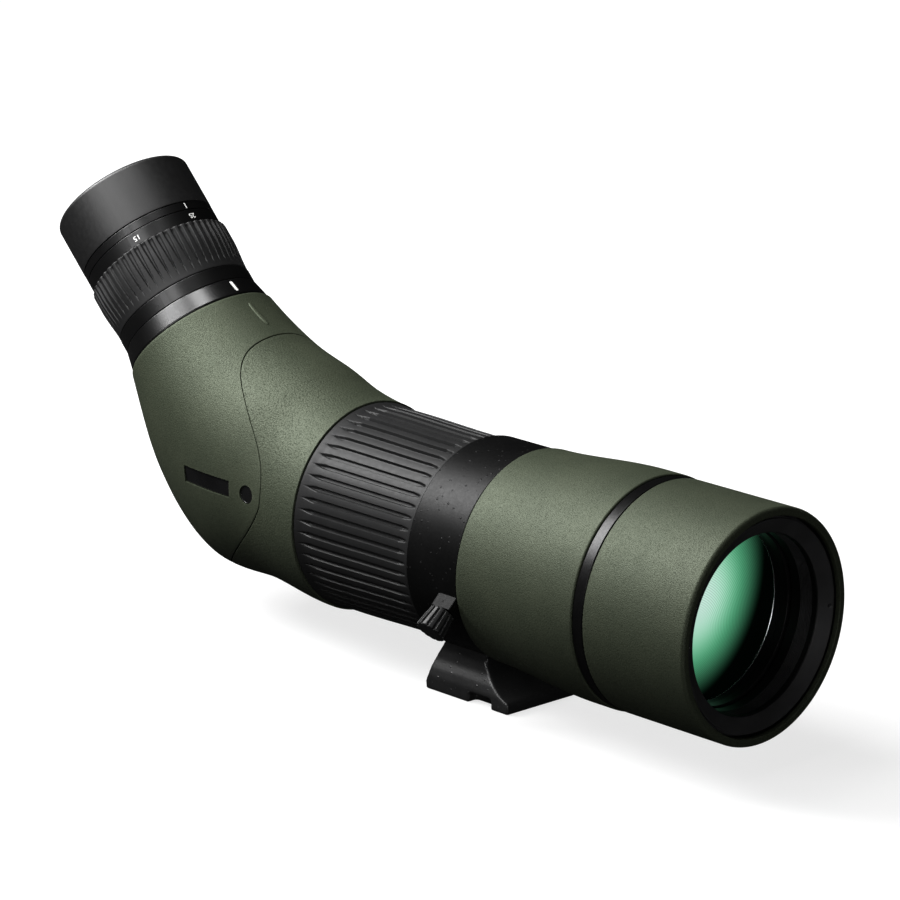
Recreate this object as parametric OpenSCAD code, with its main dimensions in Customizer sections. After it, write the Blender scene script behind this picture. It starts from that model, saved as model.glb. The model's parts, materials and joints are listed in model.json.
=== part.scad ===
// Angled spotting scope, 65 mm class, with zoom eyepiece, turning tripod
// collar, whole-barrel focus ring and pull-out sunshade.
// Frame: origin at the mouth of the tripod socket, +X towards the objective,
// +Z up. The barrel axis runs along X at height axis_h. The eyepiece axis
// leaves it at bend_x and climbs backwards (-X, +Z). A place along the barrel
// is its X; a place along the eyepiece is its distance from where the axes meet.

/* [Overall] */
// Height of the main optical axis above the tripod foot
axis_h = 55.3; // [54:0.1:60]
// Bend of the eyepiece axis from the barrel axis, in degrees
bend = 45; // [45:1:45]
// Where the two optical axes meet, along X
bend_x = -121.3; // [-122:0.1:-121]
// Clear radius of the objective
clear_r = 32.5; // [31:0.1:33]

/* [Tripod collar] */
// Half width of the collar along the barrel
collar_half = 12.9; // [11:0.1:12.9]
// Outer radius of the collar
collar_r = 39.8; // [39.4:0.1:41]
// Half width of the foot across the barrel
foot_half_y = 19.5; // [17:0.1:21]
// Minor radius of the 1/4 inch tripod thread
socket_r = 2.6; // [2.5:0.05:2.7]
// Depth of the tripod thread
socket_l = 9; // [8:0.5:10]
// Angle of the lock knob below the horizon, in degrees
knob_ang = 44; // [40:1:48]

/* [Barrel] */
// Radius of the seat that the collar turns on
seat_r = 36; // [35.9:0.01:36.02]
// Radius of the relief in the foot under the focusing grip
grip_clear_r = 39.9; // [39.7:0.1:40.5]
// Running clearance, radial
run = 0.08; // [0.05:0.01:0.1]
// Outer radius of the objective barrel
barrel_r = 39.2; // [39:0.1:39.3]
// Outer radius of the hood armour
hood_r = 43.25; // [43:0.05:44]

/* [Focus] */
// Number of grip grooves
focus_flutes = 56; // [40:1:64]
// Depth of the grip grooves
focus_depth = 1.1; // [0.5:0.1:1.4]
// Turn of the focus ring each way, in degrees
focus_turn = 150; // [90:5:150]
// Travel of the focusing group each way
focus_shift = 7.5; // [5:0.1:7.5]

/* [Eyepiece] */
// Number of zoom grip grooves
zoom_flutes = 56; // [40:1:64]
// Depth of the zoom grip grooves
zoom_depth = 0.8; // [0.4:0.1:1]
// Zoom ring turn in the minus direction, in degrees
zoom_lo = -76; // [-76:1:-60]
// Zoom ring turn in the plus direction, in degrees
zoom_hi = 50; // [40:1:50]
// Travel of the front zoom group per turn of one radian
zoom_front_rate = 3.638; // [3:0.001:3.638]
// Travel of the rear zoom group per turn of one radian
zoom_rear_rate = -2.27; // [-2.27:0.01:-2]
// Travel of the twist-up eyecup
cup_travel = 12; // [8:1:12]
// Station of the eyecup's rim, measured from where the axes meet
cup_end = 134.5; // [131:0.5:136]

/* [Hidden] */
$fn = 64;
turn_fn = 96; // facets of turned parts

// ---------- colours ----------
function gray(v) = [v, v, v];
eyepiece_black = gray(0.06);
ring_black = gray(0.07);
cell_black = gray(0.08);
tube_black = gray(0.1);
grip_black = [0.1, 0.1, 0.105];
armor_green = [0.13, 0.16, 0.11];
brass = [0.72, 0.6, 0.3];
steel = [0.5, 0.5, 0.52];
bright_steel = [0.7, 0.7, 0.72];
green_glass = [0.7, 0.85, 0.8, 0.4];
blue_glass = [0.7, 0.85, 0.9, 0.4];

// ---------- frames ----------
// local z runs along the barrel (+X); local +x points down
module barrel(x0) { translate([x0, 0, axis_h]) rotate([0, 90, 0]) children(); }
// local z runs along the eyepiece axis, from station s0
module eye(s0) {
  translate([bend_x, 0, axis_h]) rotate([0, -bend, 0]) translate([0, 0, s0]) children();
}

// ---------- round building blocks ----------
// rings between two stations, outer radius first
module tube(h, outer, inner) {
  rotate_extrude($fn = turn_fn) translate([inner, 0]) square([outer - inner, h]);
}
module ring_x(x0, x1, outer, inner) { barrel(x0) tube(x1 - x0, outer, inner); }
module ring_e(s0, s1, outer, inner) { eye(s0) tube(s1 - s0, outer, inner); }
// turned profiles: lists of [radius, station]
module turned_x(profile) { barrel(0) rotate_extrude($fn = turn_fn) polygon(profile); }
module turned_e(profile) { eye(0) rotate_extrude($fn = turn_fn) polygon(profile); }
// convex quarter round of a turned profile, about centre [r0, s0]
function quarter_round(r0, s0, radius) =
  [for (a = [0 : 15 : 90]) [r0 + radius * cos(a), s0 + radius * sin(a)]];

// one groove: [fraction of the pitch, fraction of the depth]
flute_shape = [[-0.30, 0], [-0.12, 1], [0.12, 1], [0.30, 0]];
function flute_points(count, r, depth) = [for (i = [0 : count - 1]) for (f = flute_shape)
  let (a = (i + f[0]) * 360 / count, rad = r - depth * f[1]) [rad * cos(a), rad * sin(a)]];
module fluted_sleeve(count, r, depth, h, inner) {
  linear_extrude(height = h) difference() {
    polygon(flute_points(count, r, depth));
    circle(r = inner, $fn = turn_fn);
  }
}

// height of a spherical face at distance y from its vertex; curve 0 is flat
function sag(curve, y) =
  curve == 0 ? 0 : sign(curve) * (abs(curve) - sqrt(curve * curve - y * y));
// Lens with the vertex of its first face at z = 0 and that of its second at
// z = thick. first and second are face radii, positive when the face bulges out.
module lens(r, thick, first, second) {
  steps = 8;
  rotate_extrude($fn = turn_fn) polygon(concat(
    [for (i = [0 : steps]) let (y = r * i / steps) [y, sag(first, y)]],
    [for (i = [steps : -1 : 0]) let (y = r * i / steps) [y, thick - sag(second, y)]]));
}

// two triangles over four point indices, split from the first to the third
function quad(a, b, c, d) = [[c, b, a], [d, c, a]];

// Helical bar, the cutter of a cam groove. At turn q it is at angle - q and
// at station z0 + rate * q (q in radians), for q from turn0 to turn1 degrees.
module helix_bar(inner, outer, width, angle, z0, rate, turn0, turn1, steps) {
  points = [for (i = [0 : steps])
    let (q = turn0 + (turn1 - turn0) * i / steps, a = angle - q, z = z0 + rate * q * PI / 180)
    for (c = [[inner, -1], [outer, -1], [outer, 1], [inner, 1]])
      [c[0] * cos(a), c[0] * sin(a), z + c[1] * width / 2]];
  last = 4 * steps;
  faces = concat(
    [[0, 1, 2, 3]],
    [for (i = [0 : steps - 1]) for (j = [0 : 3])
      let (p = 4 * i + j, q = 4 * i + (j + 1) % 4) each quad(p, q, q + 4, p + 4)],
    [[last + 3, last + 2, last + 1, last]]);
  polyhedron(points = points, faces = faces);
}

// ---------- tripod collar ----------
bushing_r = 5;
foot_top = 27;
blank = 60; // length of the foot's two crossed extrusions

// eighths 1 to count of a quarter superellipse arc
function super_arc(centre, size, power, count) = [for (i = [1 : count]) let (a = i * 90 / 8)
  [centre[0] - size[0] * pow(cos(a), power), centre[1] + size[1] * pow(sin(a), power)]];
// outline of the foot seen from the side: [x, z]
foot_side = concat(
  [[-21.2, 0], [-21.5, 3], [-20.3, 6]],
  super_arc([-11.3, 6], [9, 16], 1.25, 8),
  [[-10.6, foot_top], [7.6, foot_top], [6.6, 22], [6.2, 16]],
  super_arc([20.6, 16], [14.4, -11.5], 1.6, 7),
  [[20.6, 4.5], [21.1, 3.5], [21.1, 0]]);
// flanks of the foot: [inset from foot_half_y, z]
foot_flank = [[0, 0], [0, 5], [1, 9], [1.4, 14], [0.6, 20], [0, foot_top]];

module foot_solid() {
  intersection() {
    translate([0, blank / 2, 0]) rotate([90, 0, 0])
      linear_extrude(height = blank) polygon(foot_side);
    translate([-blank / 2, 0, 0]) rotate([90, 0, 90]) linear_extrude(height = blank)
      polygon(concat(
        [for (p = foot_flank) [foot_half_y - p[0], p[1]]],
        [for (i = [len(foot_flank) - 1 : -1 : 0]) let (p = foot_flank[i])
          [p[0] - foot_half_y, p[1]]]));
  }
}
module tripod_collar() {
  color([0.06, 0.06, 0.065]) difference() {
    union() {
      barrel(-collar_half) cylinder(h = 2 * collar_half, r = collar_r, $fn = turn_fn);
      foot_solid();
      // boss of the lock screw
      knob_at(-12) translate([-4.6, -3.8, 0]) cube([9.2, 7.6, 11.7]);
    }
    barrel(-collar_half - 1)
      cylinder(h = 2 * collar_half + 2, r = seat_r + run, $fn = turn_fn);
    // clearance under the focusing grip
    barrel(-collar_half - 20) cylinder(h = 20, r = grip_clear_r, $fn = turn_fn);
    // socket for the threaded bushing
    translate([0, 0, -1]) cylinder(h = socket_l + 1, r = bushing_r);
    // anti-turn pockets in the foot's sides
    for (side = [-1, 1])
      translate([6.75, side * (foot_half_y - 1.5), 1]) cube([11, 6, 6], center = true);
    // lock screw bore, then the wider shoe bore
    knob_at(-11) cylinder(h = 13, r = 2.0);
    knob_at(-16) cylinder(h = 10.3, r = 2.6);
    // detent bore, along +Y
    barrel(0) rotate([0, 0, 90]) translate([36, 0, 0]) rotate([0, 90, 0])
      cylinder(h = 6, r = 1.55);
  }
}
module tripod_bushing() {
  color(brass) difference() {
    cylinder(h = socket_l, r = bushing_r);
    translate([0, 0, -1]) cylinder(h = socket_l + 2, r = socket_r);
  }
}

// click stop of the collar, on the +Y side; r is the distance from the barrel axis
spring_at = 38.2;
spring_h = 0.55;
module detent_at(r) { translate([0, r, axis_h]) rotate([-90, 0, 0]) children(); }
module detent_ball() { color(bright_steel) detent_at(37.2) sphere(r = 1.1); }
module detent_spring() {
  color([0.6, 0.6, 0.62]) detent_at(spring_at) difference() {
    cylinder(h = spring_h, r = 1.15);
    translate([0, 0, -1]) cylinder(h = 3, r = 0.7);
  }
}
module detent_screw() {
  color(tube_black) detent_at(spring_at + spring_h) difference() {
    cylinder(h = 0.95, r = 1.5);
    // hexagon socket
    translate([0, 0, 0.45]) cylinder(h = 1, r = 0.7, $fn = 6);
  }
}

// ---------- lock knob ----------
lock_screw_r = 1.9;
knob_base_h = 1.2;
knob_step_h = 1.8;
knob_steps = 4;
// local z points outward (-Y and down) along the screw, from distance d past the knob's base
module knob_at(d) {
  translate([8, -41, axis_h - 14.4]) rotate([90 + knob_ang, 0, 0]) translate([0, 0, d])
    children();
}
module lock_knob() {
  color([0.12, 0.12, 0.125]) knob_at(0) difference() {
    union() {
      cylinder(h = knob_base_h, r = 4.6);
      for (k = [0 : knob_steps - 1])
        translate([0, 0, knob_base_h + k * knob_step_h])
          linear_extrude(height = knob_step_h) polygon(flute_points(12, 5.0 + 0.25 * k, 0.8));
      translate([0, 0, knob_base_h + knob_steps * knob_step_h])
        cylinder(h = 0.8, r1 = 5.7, r2 = 4.9);
    }
    translate([0, 0, -1]) cylinder(h = 7, r = lock_screw_r);
  }
}
module lock_screw() { color([0.55, 0.56, 0.58]) knob_at(-5.7) cylinder(h = 11.7, r = lock_screw_r); }
module lock_shoe() {
  color(brass) difference() {
    knob_at(-10) cylinder(h = 4.25, r = 2.5);
    barrel(-5) cylinder(h = 30, r = seat_r + run + 0.32, $fn = 360);
  }
}

// ---------- fixed barrel ----------
tube_rear = -86;
tube_bore = 31.5;
tube_r = 34.9;
joint_r = 35;      // where the objective barrel fits over the main tube
joint_rear = 17;
joint_front = 30;
shell_bore = 36.5; // bore of the objective barrel
slide_r = 39.0;    // reduced part of the barrel, under the sunshade
slide_rear = 78.1;
slide_front = 112;
glass_r = 33.5;    // objective lenses
focus_x = -45;     // focusing pin at mid travel
focus_pin_r = 1.5;

module main_tube() {
  color(tube_black) difference() {
    turned_x([[tube_bore, tube_rear], [tube_r, tube_rear], [tube_r, -15], [tube_r, -14.9],
      [seat_r, -13.1], [seat_r, 13.05], [barrel_r, 13.05], [barrel_r, joint_rear],
      [joint_r, joint_rear], [joint_r, joint_front], [tube_bore, joint_front]]);
    // straight slot that guides the focusing group, at the top
    translate([focus_x, 0, axis_h + 33])
      cube([2 * (focus_shift + focus_pin_r) + 0.8, 3.5, 6], center = true);
  }
}
module collar_retainer() { color(gray(0.2)) ring_x(-14.75, -13.15, 37.0, 36.02); }
module objective_barrel() {
  color(tube_black) turned_x([[joint_r, joint_rear], [barrel_r, joint_rear],
    [barrel_r, slide_rear], [slide_r, slide_rear], [slide_r, slide_front],
    [shell_bore, slide_front], [shell_bore, joint_front], [joint_r, joint_front]]);
}
module front_ring() {
  color(ring_black) difference() {
    turned_x([[33, 108.85], [shell_bore, 108.85], [shell_bore, slide_front],
      [slide_r, slide_front], [slide_r, 115], [40.25, 115], [40.25, 120.2], [38.5, 120.2],
      [38.5, 123.7], [33, 120.85]]);
    // spanner holes in the cone face
    for (side = [-1, 1])
      translate([121, side * 37, axis_h]) rotate([0, 90, 0]) cylinder(h = 5, r = 0.6);
  }
}
module objective_cell() {
  color(cell_black) turned_x([[31.2, 76], [shell_bore, 76], [shell_bore, 103.8],
    [33.6, 103.8], [33.6, 78.5], [31.2, 78.5]]);
}
module lens_retainer() {
  color(ring_black) turned_x([[32.55, 103.85], [36.45, 103.85], [36.45, 108.8],
    [34.5, 108.8], [34.5, 107.6], [32.55, 107.6]]);
}
module lens_spacer() {
  color(gray(0.6)) turned_x([[clear_r, 100.95], [33.55, 100.95], [33.55, 103.8], [32.7, 103.8]]);
}
module front_lens() {
  color([0.45, 0.8, 0.65, 0.4]) barrel(95.6)
    lens(r = glass_r, thick = 8.9, first = 200, second = 150);
}
module middle_lens() {
  color(green_glass) barrel(91.6) lens(r = glass_r, thick = 3.3, first = 0, second = -200);
}
module rear_lens() {
  color(green_glass) barrel(80.8) lens(r = glass_r, thick = 8.4, first = 300, second = 180);
}
module trim_ring() { color(gray(0.03)) ring_x(73.35, 77.9, 43.0, barrel_r); }

// armour sleeve that swells smoothly by bell_swell over bell_l from x = 13
bell_rear_r = 40.5;
bell_swell = 3.15;
bell_l = 50;
bell_x0 = 13.9; // end of the rounded rear edge
bell_x1 = 72.4; // start of the rounded front edge
function bell_r(x) = let (u = min(max((x - 13) / bell_l, 0), 1))
  bell_rear_r + bell_swell * u * u * (3 - 2 * u);
module bell_armor() {
  steps = 16;
  color(armor_green) turned_x(concat(
    [[barrel_r, 13.1], [39.7, 13.1], [40.2, 13.35], [bell_rear_r, bell_x0]],
    [for (i = [1 : steps]) let (x = bell_x0 + (bell_x1 - bell_x0) * i / steps) [bell_r(x), x]],
    [[43.4, 73], [42.9, 73.25], [barrel_r, 73.25]]));
}

// ---------- curved prism housing ----------
// Stations t run from 0 at the barrel to 1 at the eyepiece along a bent centre line.
// Half heights above and below it, and half widths, at five even stations:
half_up = [40.6, 42.4, 42.2, 36.5, 31.0];
half_down = [40.6, 41.4, 52.1, 46.7, 31.0];
half_wide = [40.6, 37.8, 37.8, 35.4, 31.0];
housing_x = -72.75; // front end, on the barrel axis
housing_s = 66.3;   // rear end, on the eyepiece axis
neck_bore = 27.4;   // opening for the eyepiece mount

// Catmull-Rom curve through evenly spaced values
function spline(v, t) = let (n = len(v) - 1, u = min(max(t * n, 0), n - 1e-6), i = floor(u),
    f = u - i, a = i == 0 ? 2 * v[0] - v[1] : v[i - 1], b = v[i], c = v[i + 1],
    d = i + 2 > n ? 2 * v[n] - v[n - 1] : v[i + 2])
  0.5 * (2 * b + (c - a) * f + (2 * a - 5 * b + 4 * c - d) * f * f
    + (3 * b - a - 3 * c + d) * f * f * f);
// centre line: quadratic Bezier curve in [x, height above the barrel axis]
line_start = [housing_x, 0];
line_knee = [bend_x, 0];
line_end = [bend_x - housing_s * sin(bend), housing_s * cos(bend)];
function centre(t) =
  (1 - t) * (1 - t) * line_start + 2 * t * (1 - t) * line_knee + t * t * line_end;
function tangent(t) =
  let (v = 2 * (1 - t) * (line_knee - line_start) + 2 * t * (line_end - line_knee)) v / norm(v);
// point of the skin at station t and angle a from the top, moved inward by inset
function skin(t, a, inset) = let (p = centre(t), d = tangent(t),
    h = (spline(cos(a) >= 0 ? half_up : half_down, t) - inset) * cos(a))
  [p[0] + d[1] * h, (spline(half_wide, t) - inset) * sin(a), axis_h + p[1] - d[0] * h];

// S-shaped joint line between the armour shells, as a station for the angle from the top
seam_base = 0.205;  // station at the side
seam_step = 0.57;   // how much further back it lies at the top
seam_mid = 53;      // angle at the middle of that step
seam_spread = 9;    // angle scale of that step
seam_sweep = 0.255; // how much further back it lies at the bottom
function half_seam(q) = seam_base + seam_step / (1 + exp((q - seam_mid) / seam_spread))
  + (q > 90 ? seam_sweep * pow(sin(q - 90), 1.3) : 0);
function seam(a) = half_seam(a > 180 ? 360 - a : a);
seam_gap = 0.002; // of each shell from the line, in t

// Closed shell between two insets of the skin, of the given facet counts.
// It is full length, unless from_seam or to_seam ends it at the joint line.
module skin_shell(outer, inner, along, around, from_seam = false, to_seam = false) {
  points = [for (inset = [outer, inner]) for (i = [0 : along]) for (j = [0 : around - 1])
    let (a = j * 360 / around, t0 = from_seam ? seam(a) + seam_gap : 0,
      t1 = to_seam ? seam(a) - seam_gap : 1) skin(t0 + (t1 - t0) * i / along, a, inset)];
  m = around;
  in = (along + 1) * m; // first point of the inner skin
  end = along * m;      // first point of the last row
  faces = [for (j = [0 : m - 1]) let (k = (j + 1) % m) each concat(
    [for (row = [0 : m : end - m]) let (p = row + j, q = row + k)
      each concat(quad(p, q, q + m, p + m), quad(in + p, in + p + m, in + q + m, in + q))],
    quad(j, in + j, in + k, k),
    quad(end + j, end + k, in + end + k, in + end + j))];
  polyhedron(points = points, faces = faces);
}

// plate and badge on the -Y side
module plate_at() { translate([-124.5, -37.1, axis_h + 4.9]) rotate([0, 0, -3.4]) children(); }
module badge_at(y) { translate([-101.3, y, axis_h + 4.8]) rotate([90, 0, 0]) children(); }

module prism_housing() {
  color(gray(0.12)) difference() {
    union() {
      skin_shell(outer = 2.35, inner = 4.8, along = 12, around = 28);
      ring_x(tube_rear, housing_x, 37.0, tube_r);
      ring_e(60, 66.25, 28.4, neck_bore);
    }
    eye(50) cylinder(h = 20, r = neck_bore, $fn = turn_fn);
    barrel(-90) cylinder(h = 20, r = tube_r, $fn = turn_fn);
  }
}
module housing_armor_front() {
  color(armor_green) skin_shell(outer = 0, inner = 2.0, along = 12, around = 40, to_seam = true);
}
module housing_armor_rear() {
  color([0.12, 0.155, 0.1]) difference() {
    skin_shell(outer = 0, inner = 2.0, along = 14, around = 40, from_seam = true);
    plate_at() translate([-13.75, -3, -3.3]) cube([27.5, 3.9, 6.6]);
    badge_at(-36.9) cylinder(h = 4, r = 3.4);
  }
}
module name_plate() {
  color(gray(0.02)) plate_at() translate([-13.7, -0.3, -3.25]) cube([27.4, 1.15, 6.5]);
}
module side_badge() { color([0.05, 0.06, 0.05]) badge_at(-36.95) cylinder(h = 0.8, r = 3.3); }

// ---------- prism ----------
cheek_y = 20.6; // middle of the cradle's side cheeks
cradle_bore = 20;
// local z square to the prism's sloping lower face
module clamp_at(y = 0) { translate([-115.15, y, 43.86]) rotate([0, bend / 2, 0]) children(); }
// plate standing in the XZ plane from y down to y - h, outline in [x, z]
module upright(y, h, outline) {
  translate([0, y, 0]) rotate([90, 0, 0]) linear_extrude(height = h) polygon(outline);
}
// entry face at x = -101, exit face square to the eyepiece
module roof_prism() {
  color([0.8, 0.9, 0.95, 0.4]) upright(19, 38, [[-101, 38], [-101, 78], [-129.3, 49.7]]);
}
module prism_cradle() {
  color([0.25, 0.25, 0.26]) difference() {
    union() {
      ring_x(-98.4, -95.4, 32.0, cradle_bore);
      for (side = [-1, 1]) upright(side * cheek_y + 1.5, 3,
        [[-95.4, 36], [-95.4, 81], [-98.4, 80.6], [-129.3, 49.7], [-98.4, 36.92]]);
    }
    for (side = [-1, 1]) clamp_at(side * cheek_y) cylinder(h = 6, r = 0.8, center = true);
    barrel(-99) cylinder(h = 5, r = cradle_bore, $fn = turn_fn);
  }
}
module prism_clamp() {
  color([0.65, 0.66, 0.68]) clamp_at() difference() {
    translate([-6, -22, -1.3]) cube([12, 44, 1.2]);
    for (side = [-1, 1]) translate([0, side * cheek_y, -3]) cylinder(h = 6, r = 0.8);
  }
}
module prism_screws() {
  color(steel) for (side = [-1, 1]) clamp_at(side * cheek_y) {
    translate([0, 0, -1.6]) cylinder(h = 3.9, r = 0.75);
    translate([0, 0, -2.5]) cylinder(h = 1.2, r = 1.4);
  }
}

// ---------- eyepiece, fixed parts ----------
eye_tube_r = 20;
eye_fit_r = 20.02; // bore of the parts fixed on the eyepiece barrel
eye_glass_r = 18.15;
module eyepiece_mount() { color(steel) ring_e(52, 66.2, 27.35, 24.1); }
module eyepiece_base() {
  color(eyepiece_black) turned_e([[eye_fit_r, 58], [24.05, 58], [24.05, housing_s],
    [26.9, housing_s], [26.9, 74.75], [28.5, 74.75], [28.5, 80.85], [22.2, 80.85],
    [22.2, 77.6], [eye_fit_r, 77.6]]);
}
module eyepiece_barrel() {
  color(cell_black) difference() {
    ring_e(58, 119, eye_tube_r, 18.2);
    // straight slots of the front and rear zoom pins
    eye(79.3) translate([0, -1.4, 0]) cube([25, 2.8, 10.65]);
    eye(95.8) translate([-25, -1.4, 0]) cube([25, 2.8, 8.2]);
  }
}
module index_ring() { color(eyepiece_black) ring_e(108.25, 111.75, 28.3, eye_fit_r); }
module field_lens() {
  color(blue_glass) eye(61) lens(r = eye_glass_r, thick = 8.2, first = 70, second = 40);
}
module eye_lens() {
  color([0.6, 0.75, 0.9, 0.4]) eye(108.6)
    lens(r = eye_glass_r, thick = 7.6, first = 45, second = 60);
}
module eye_lens_retainer() {
  color(eyepiece_black)
    turned_e([[15.6, 115.2], [eye_glass_r, 115.2], [eye_glass_r, 119], [16.6, 119]]);
}
module o_ring(ring_r, cord_r) {
  rotate_extrude($fn = turn_fn) translate([ring_r, 0]) circle(r = cord_r, $fn = 24);
}
module body_seals() {
  color(gray(0.03)) {
    barrel(-84) o_ring(31.0, 0.45);
    eye(56) o_ring(23.4, 0.65);
  }
}

// ---------- sunshade ----------
shade_r = 41.4;
shade_bore = 40.35;
hood_round = 2.6; // front edge radius
module shade_tube() { color(cell_black) ring_x(slide_rear, 123.4, shade_r, shade_bore); }
module shade_stop() { color(cell_black) ring_x(78.2, 81.2, shade_bore, 39.3); }
module shade_armor() {
  color(armor_green) turned_x(concat(
    [[shade_r, 78.05], [hood_r - 0.5, 78.05], [hood_r - 0.1, 78.2], [hood_r, 78.7]],
    quarter_round(hood_r - hood_round, 122.9, hood_round),
    [[40.4, 125.4], [40.0, 124.5], [40.0, 123.45], [shade_r, 123.45]]));
}

// ---------- focus ----------
focus_core_r = 37.2;
module focus_core() {
  over_turn = focus_turn + 7; // the groove runs past each stop
  color(gray(0.15)) difference() {
    ring_x(-72.5, -15.0, focus_core_r, 35.0);
    barrel(0) helix_bar(inner = 34.2, outer = 36.85, width = 4.0, angle = 180, z0 = focus_x,
      rate = focus_shift / (focus_turn * PI / 180),
      turn0 = -over_turn, turn1 = over_turn, steps = 36);
  }
}
module focus_grip() {
  color(grip_black) {
    turned_x([[focus_core_r, -72.6], [38.9, -72.6], [39.4, -72.2], [39.4, -70],
      [focus_core_r, -70]]);
    barrel(-70) fluted_sleeve(focus_flutes, 39.2, focus_depth, h = 54.6, inner = focus_core_r);
    turned_x([[focus_core_r, -15.4], [38.6, -15.4], [38.6, -13.4], [38.3, -13.1],
      [focus_core_r, -13.1]]);
  }
}
module focus_cell() {
  cell_r = tube_bore - run;
  color(cell_black) difference() {
    turned_x([[26, -53], [cell_r, -53], [cell_r, -37], [27.6, -37], [27.6, -51], [26, -51]]);
    translate([focus_x, 0, axis_h + 25]) cylinder(h = 20, r = focus_pin_r);
  }
}
module focus_lens() {
  color(blue_glass) barrel(-46.5) lens(r = 27.55, thick = 6, first = -90, second = 0);
}
module focus_pin() {
  color(bright_steel) translate([focus_x, 0, axis_h + 28]) cylinder(h = 8.6, r = focus_pin_r);
}

// ---------- eyepiece, turning parts ----------
zoom_r = 27;         // zoom core under its grip
zoom_pin_r = 1.2;
zoom_drive_s = 92;
zoom_front_s = 85.5; // pins of the two zoom groups
zoom_rear_s = 99.5;
zoom_lens_r = 15.2;
module eyepiece_lock_ring() {
  color(eyepiece_black) turned_e([[27.0, 66.45], [30.0, 66.45], [30.3, 66.8], [30.0, 68.8],
    [28.7, 74.2], [28.4, 74.6], [27.0, 74.6]]);
}
// radial frame of the drive screw
module drive_at() { eye(zoom_drive_s) rotate([0, 90, 0]) children(); }
module zoom_core() {
  color(eyepiece_black) difference() {
    turned_e([[22.2, 81.0], [zoom_r, 81.0], [zoom_r, 102.5], [28.3, 102.5], [28.3, 108.1],
      [22.2, 108.1]]);
    drive_at() cylinder(h = 30, r = zoom_pin_r);
  }
}
module zoom_grip() {
  color(grip_black) {
    turned_e([[zoom_r, 81.0], [28.0, 81.0], [28.4, 81.4], [28.4, 82.6], [zoom_r, 82.6]]);
    eye(82.6) fluted_sleeve(zoom_flutes, 28.9, zoom_depth, h = 18, inner = zoom_r);
    turned_e([[zoom_r, 100.6], [29.4, 100.6], [29.4, 102.0], [29.1, 102.4], [zoom_r, 102.4]]);
  }
}
// helical slot of one zoom group, running past both stops
module cam_slot(angle, station, rate) {
  eye(0) helix_bar(inner = 19, outer = 23, width = 3.0, angle = angle, z0 = station,
    rate = rate, turn0 = zoom_lo - 6, turn1 = zoom_hi + 6, steps = 20);
}
module zoom_cam_tube() {
  color([0.7, 0.6, 0.35]) difference() {
    ring_e(78.5, 105, 21.9, 20.1);
    cam_slot(0, zoom_front_s, zoom_front_rate);
    cam_slot(180, zoom_rear_s, zoom_rear_rate);
    drive_at() cylinder(h = 30, r = zoom_pin_r);
  }
}
module zoom_drive_screw() {
  color(steel) drive_at() translate([0, 0, 20.4]) cylinder(h = 6.4, r = zoom_pin_r);
}
// cell from s0 to s1 with a radial pin at pin_s; side is the sign of the pin's local x
module zoom_cell(s0, s1, pin_s, side) {
  color(cell_black) union() {
    ring_e(s0, s1, 18.12, zoom_lens_r);
    eye(pin_s) rotate([0, side * 90, 0]) translate([0, 0, 17]) cylinder(h = 4.7, r = zoom_pin_r);
  }
}
module zoom_front_cell() { zoom_cell(81.5, 89.5, zoom_front_s, 1); }
module zoom_rear_cell() { zoom_cell(97, 102, zoom_rear_s, -1); }
module zoom_front_lens() {
  color(blue_glass) eye(84) lens(r = zoom_lens_r, thick = 3, first = -60, second = -60);
}
module zoom_rear_lens() {
  color(blue_glass) eye(97) lens(r = zoom_lens_r, thick = 4.6, first = 60, second = 60);
}

// ---------- eyecup ----------
cup_start = 111.95;
cup_r = 26.6; // core under the rubber
cup_bore = 22.7;
cup_round = 2.8; // rim edge radius
cup_slot_l = cup_travel + 2; // travel, plus the key and its end play
module eyecup_guide() {
  color(tube_black) difference() {
    ring_e(cup_start, 127, 22.6, 20.1);
    for (a = [0, 180])
      eye(113) rotate([0, 0, a]) translate([21.8, -1.6, 0]) cube([3, 3.2, cup_slot_l]);
  }
}
module eyecup_core() {
  color(cell_black) union() {
    ring_e(cup_start, cup_end - 1.7, cup_r, cup_bore);
    // keys that run in the guide's slots
    for (a = [0, 180])
      eye(113.2) rotate([0, 0, a]) translate([21.9, -1.5, 0]) cube([1.0, 3, 1.6]);
  }
}
module eyecup_rubber() {
  color([0.09, 0.09, 0.095]) turned_e(concat(
    [[cup_r, cup_start], [28.1, cup_start], [28.4, 112.3]],
    quarter_round(25.6, cup_end - cup_round, cup_round),
    [[23.6, cup_end], [22.9, cup_end - 0.6], [cup_bore, cup_end - 1.65],
      [cup_r, cup_end - 1.65]]));
}

tripod_collar();
tripod_bushing();
detent_ball();
detent_spring();
detent_screw();
lock_knob();
lock_screw();
lock_shoe();
main_tube();
collar_retainer();
objective_barrel();
front_ring();
objective_cell();
lens_retainer();
lens_spacer();
front_lens();
middle_lens();
rear_lens();
trim_ring();
bell_armor();
prism_housing();
housing_armor_front();
housing_armor_rear();
name_plate();
side_badge();
roof_prism();
prism_cradle();
prism_clamp();
prism_screws();
eyepiece_mount();
eyepiece_base();
eyepiece_barrel();
index_ring();
field_lens();
eye_lens();
eye_lens_retainer();
body_seals();
shade_tube();
shade_armor();
shade_stop();
focus_core();
focus_grip();
focus_cell();
focus_lens();
focus_pin();
eyepiece_lock_ring();
zoom_core();
zoom_grip();
zoom_cam_tube();
zoom_drive_screw();
zoom_front_cell();
zoom_front_lens();
zoom_rear_cell();
zoom_rear_lens();
eyecup_guide();
eyecup_core();
eyecup_rubber();
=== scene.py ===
"""Angled spotting scope: detailed meshes, materials and studio around the CAD frame.

The main tube lies along X with the objective at +X, Z is up, and the eyepiece rises to the
rear (-X, +Z) at 45 degrees. The camera stands in front, on the -Y side. The frame is in
metres; shapes here are drawn in millimetres and scaled by MM when a mesh is made.
"""
import json
import math

import bmesh
import bpy
import numpy as np
from mathutils import Matrix, Vector


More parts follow.
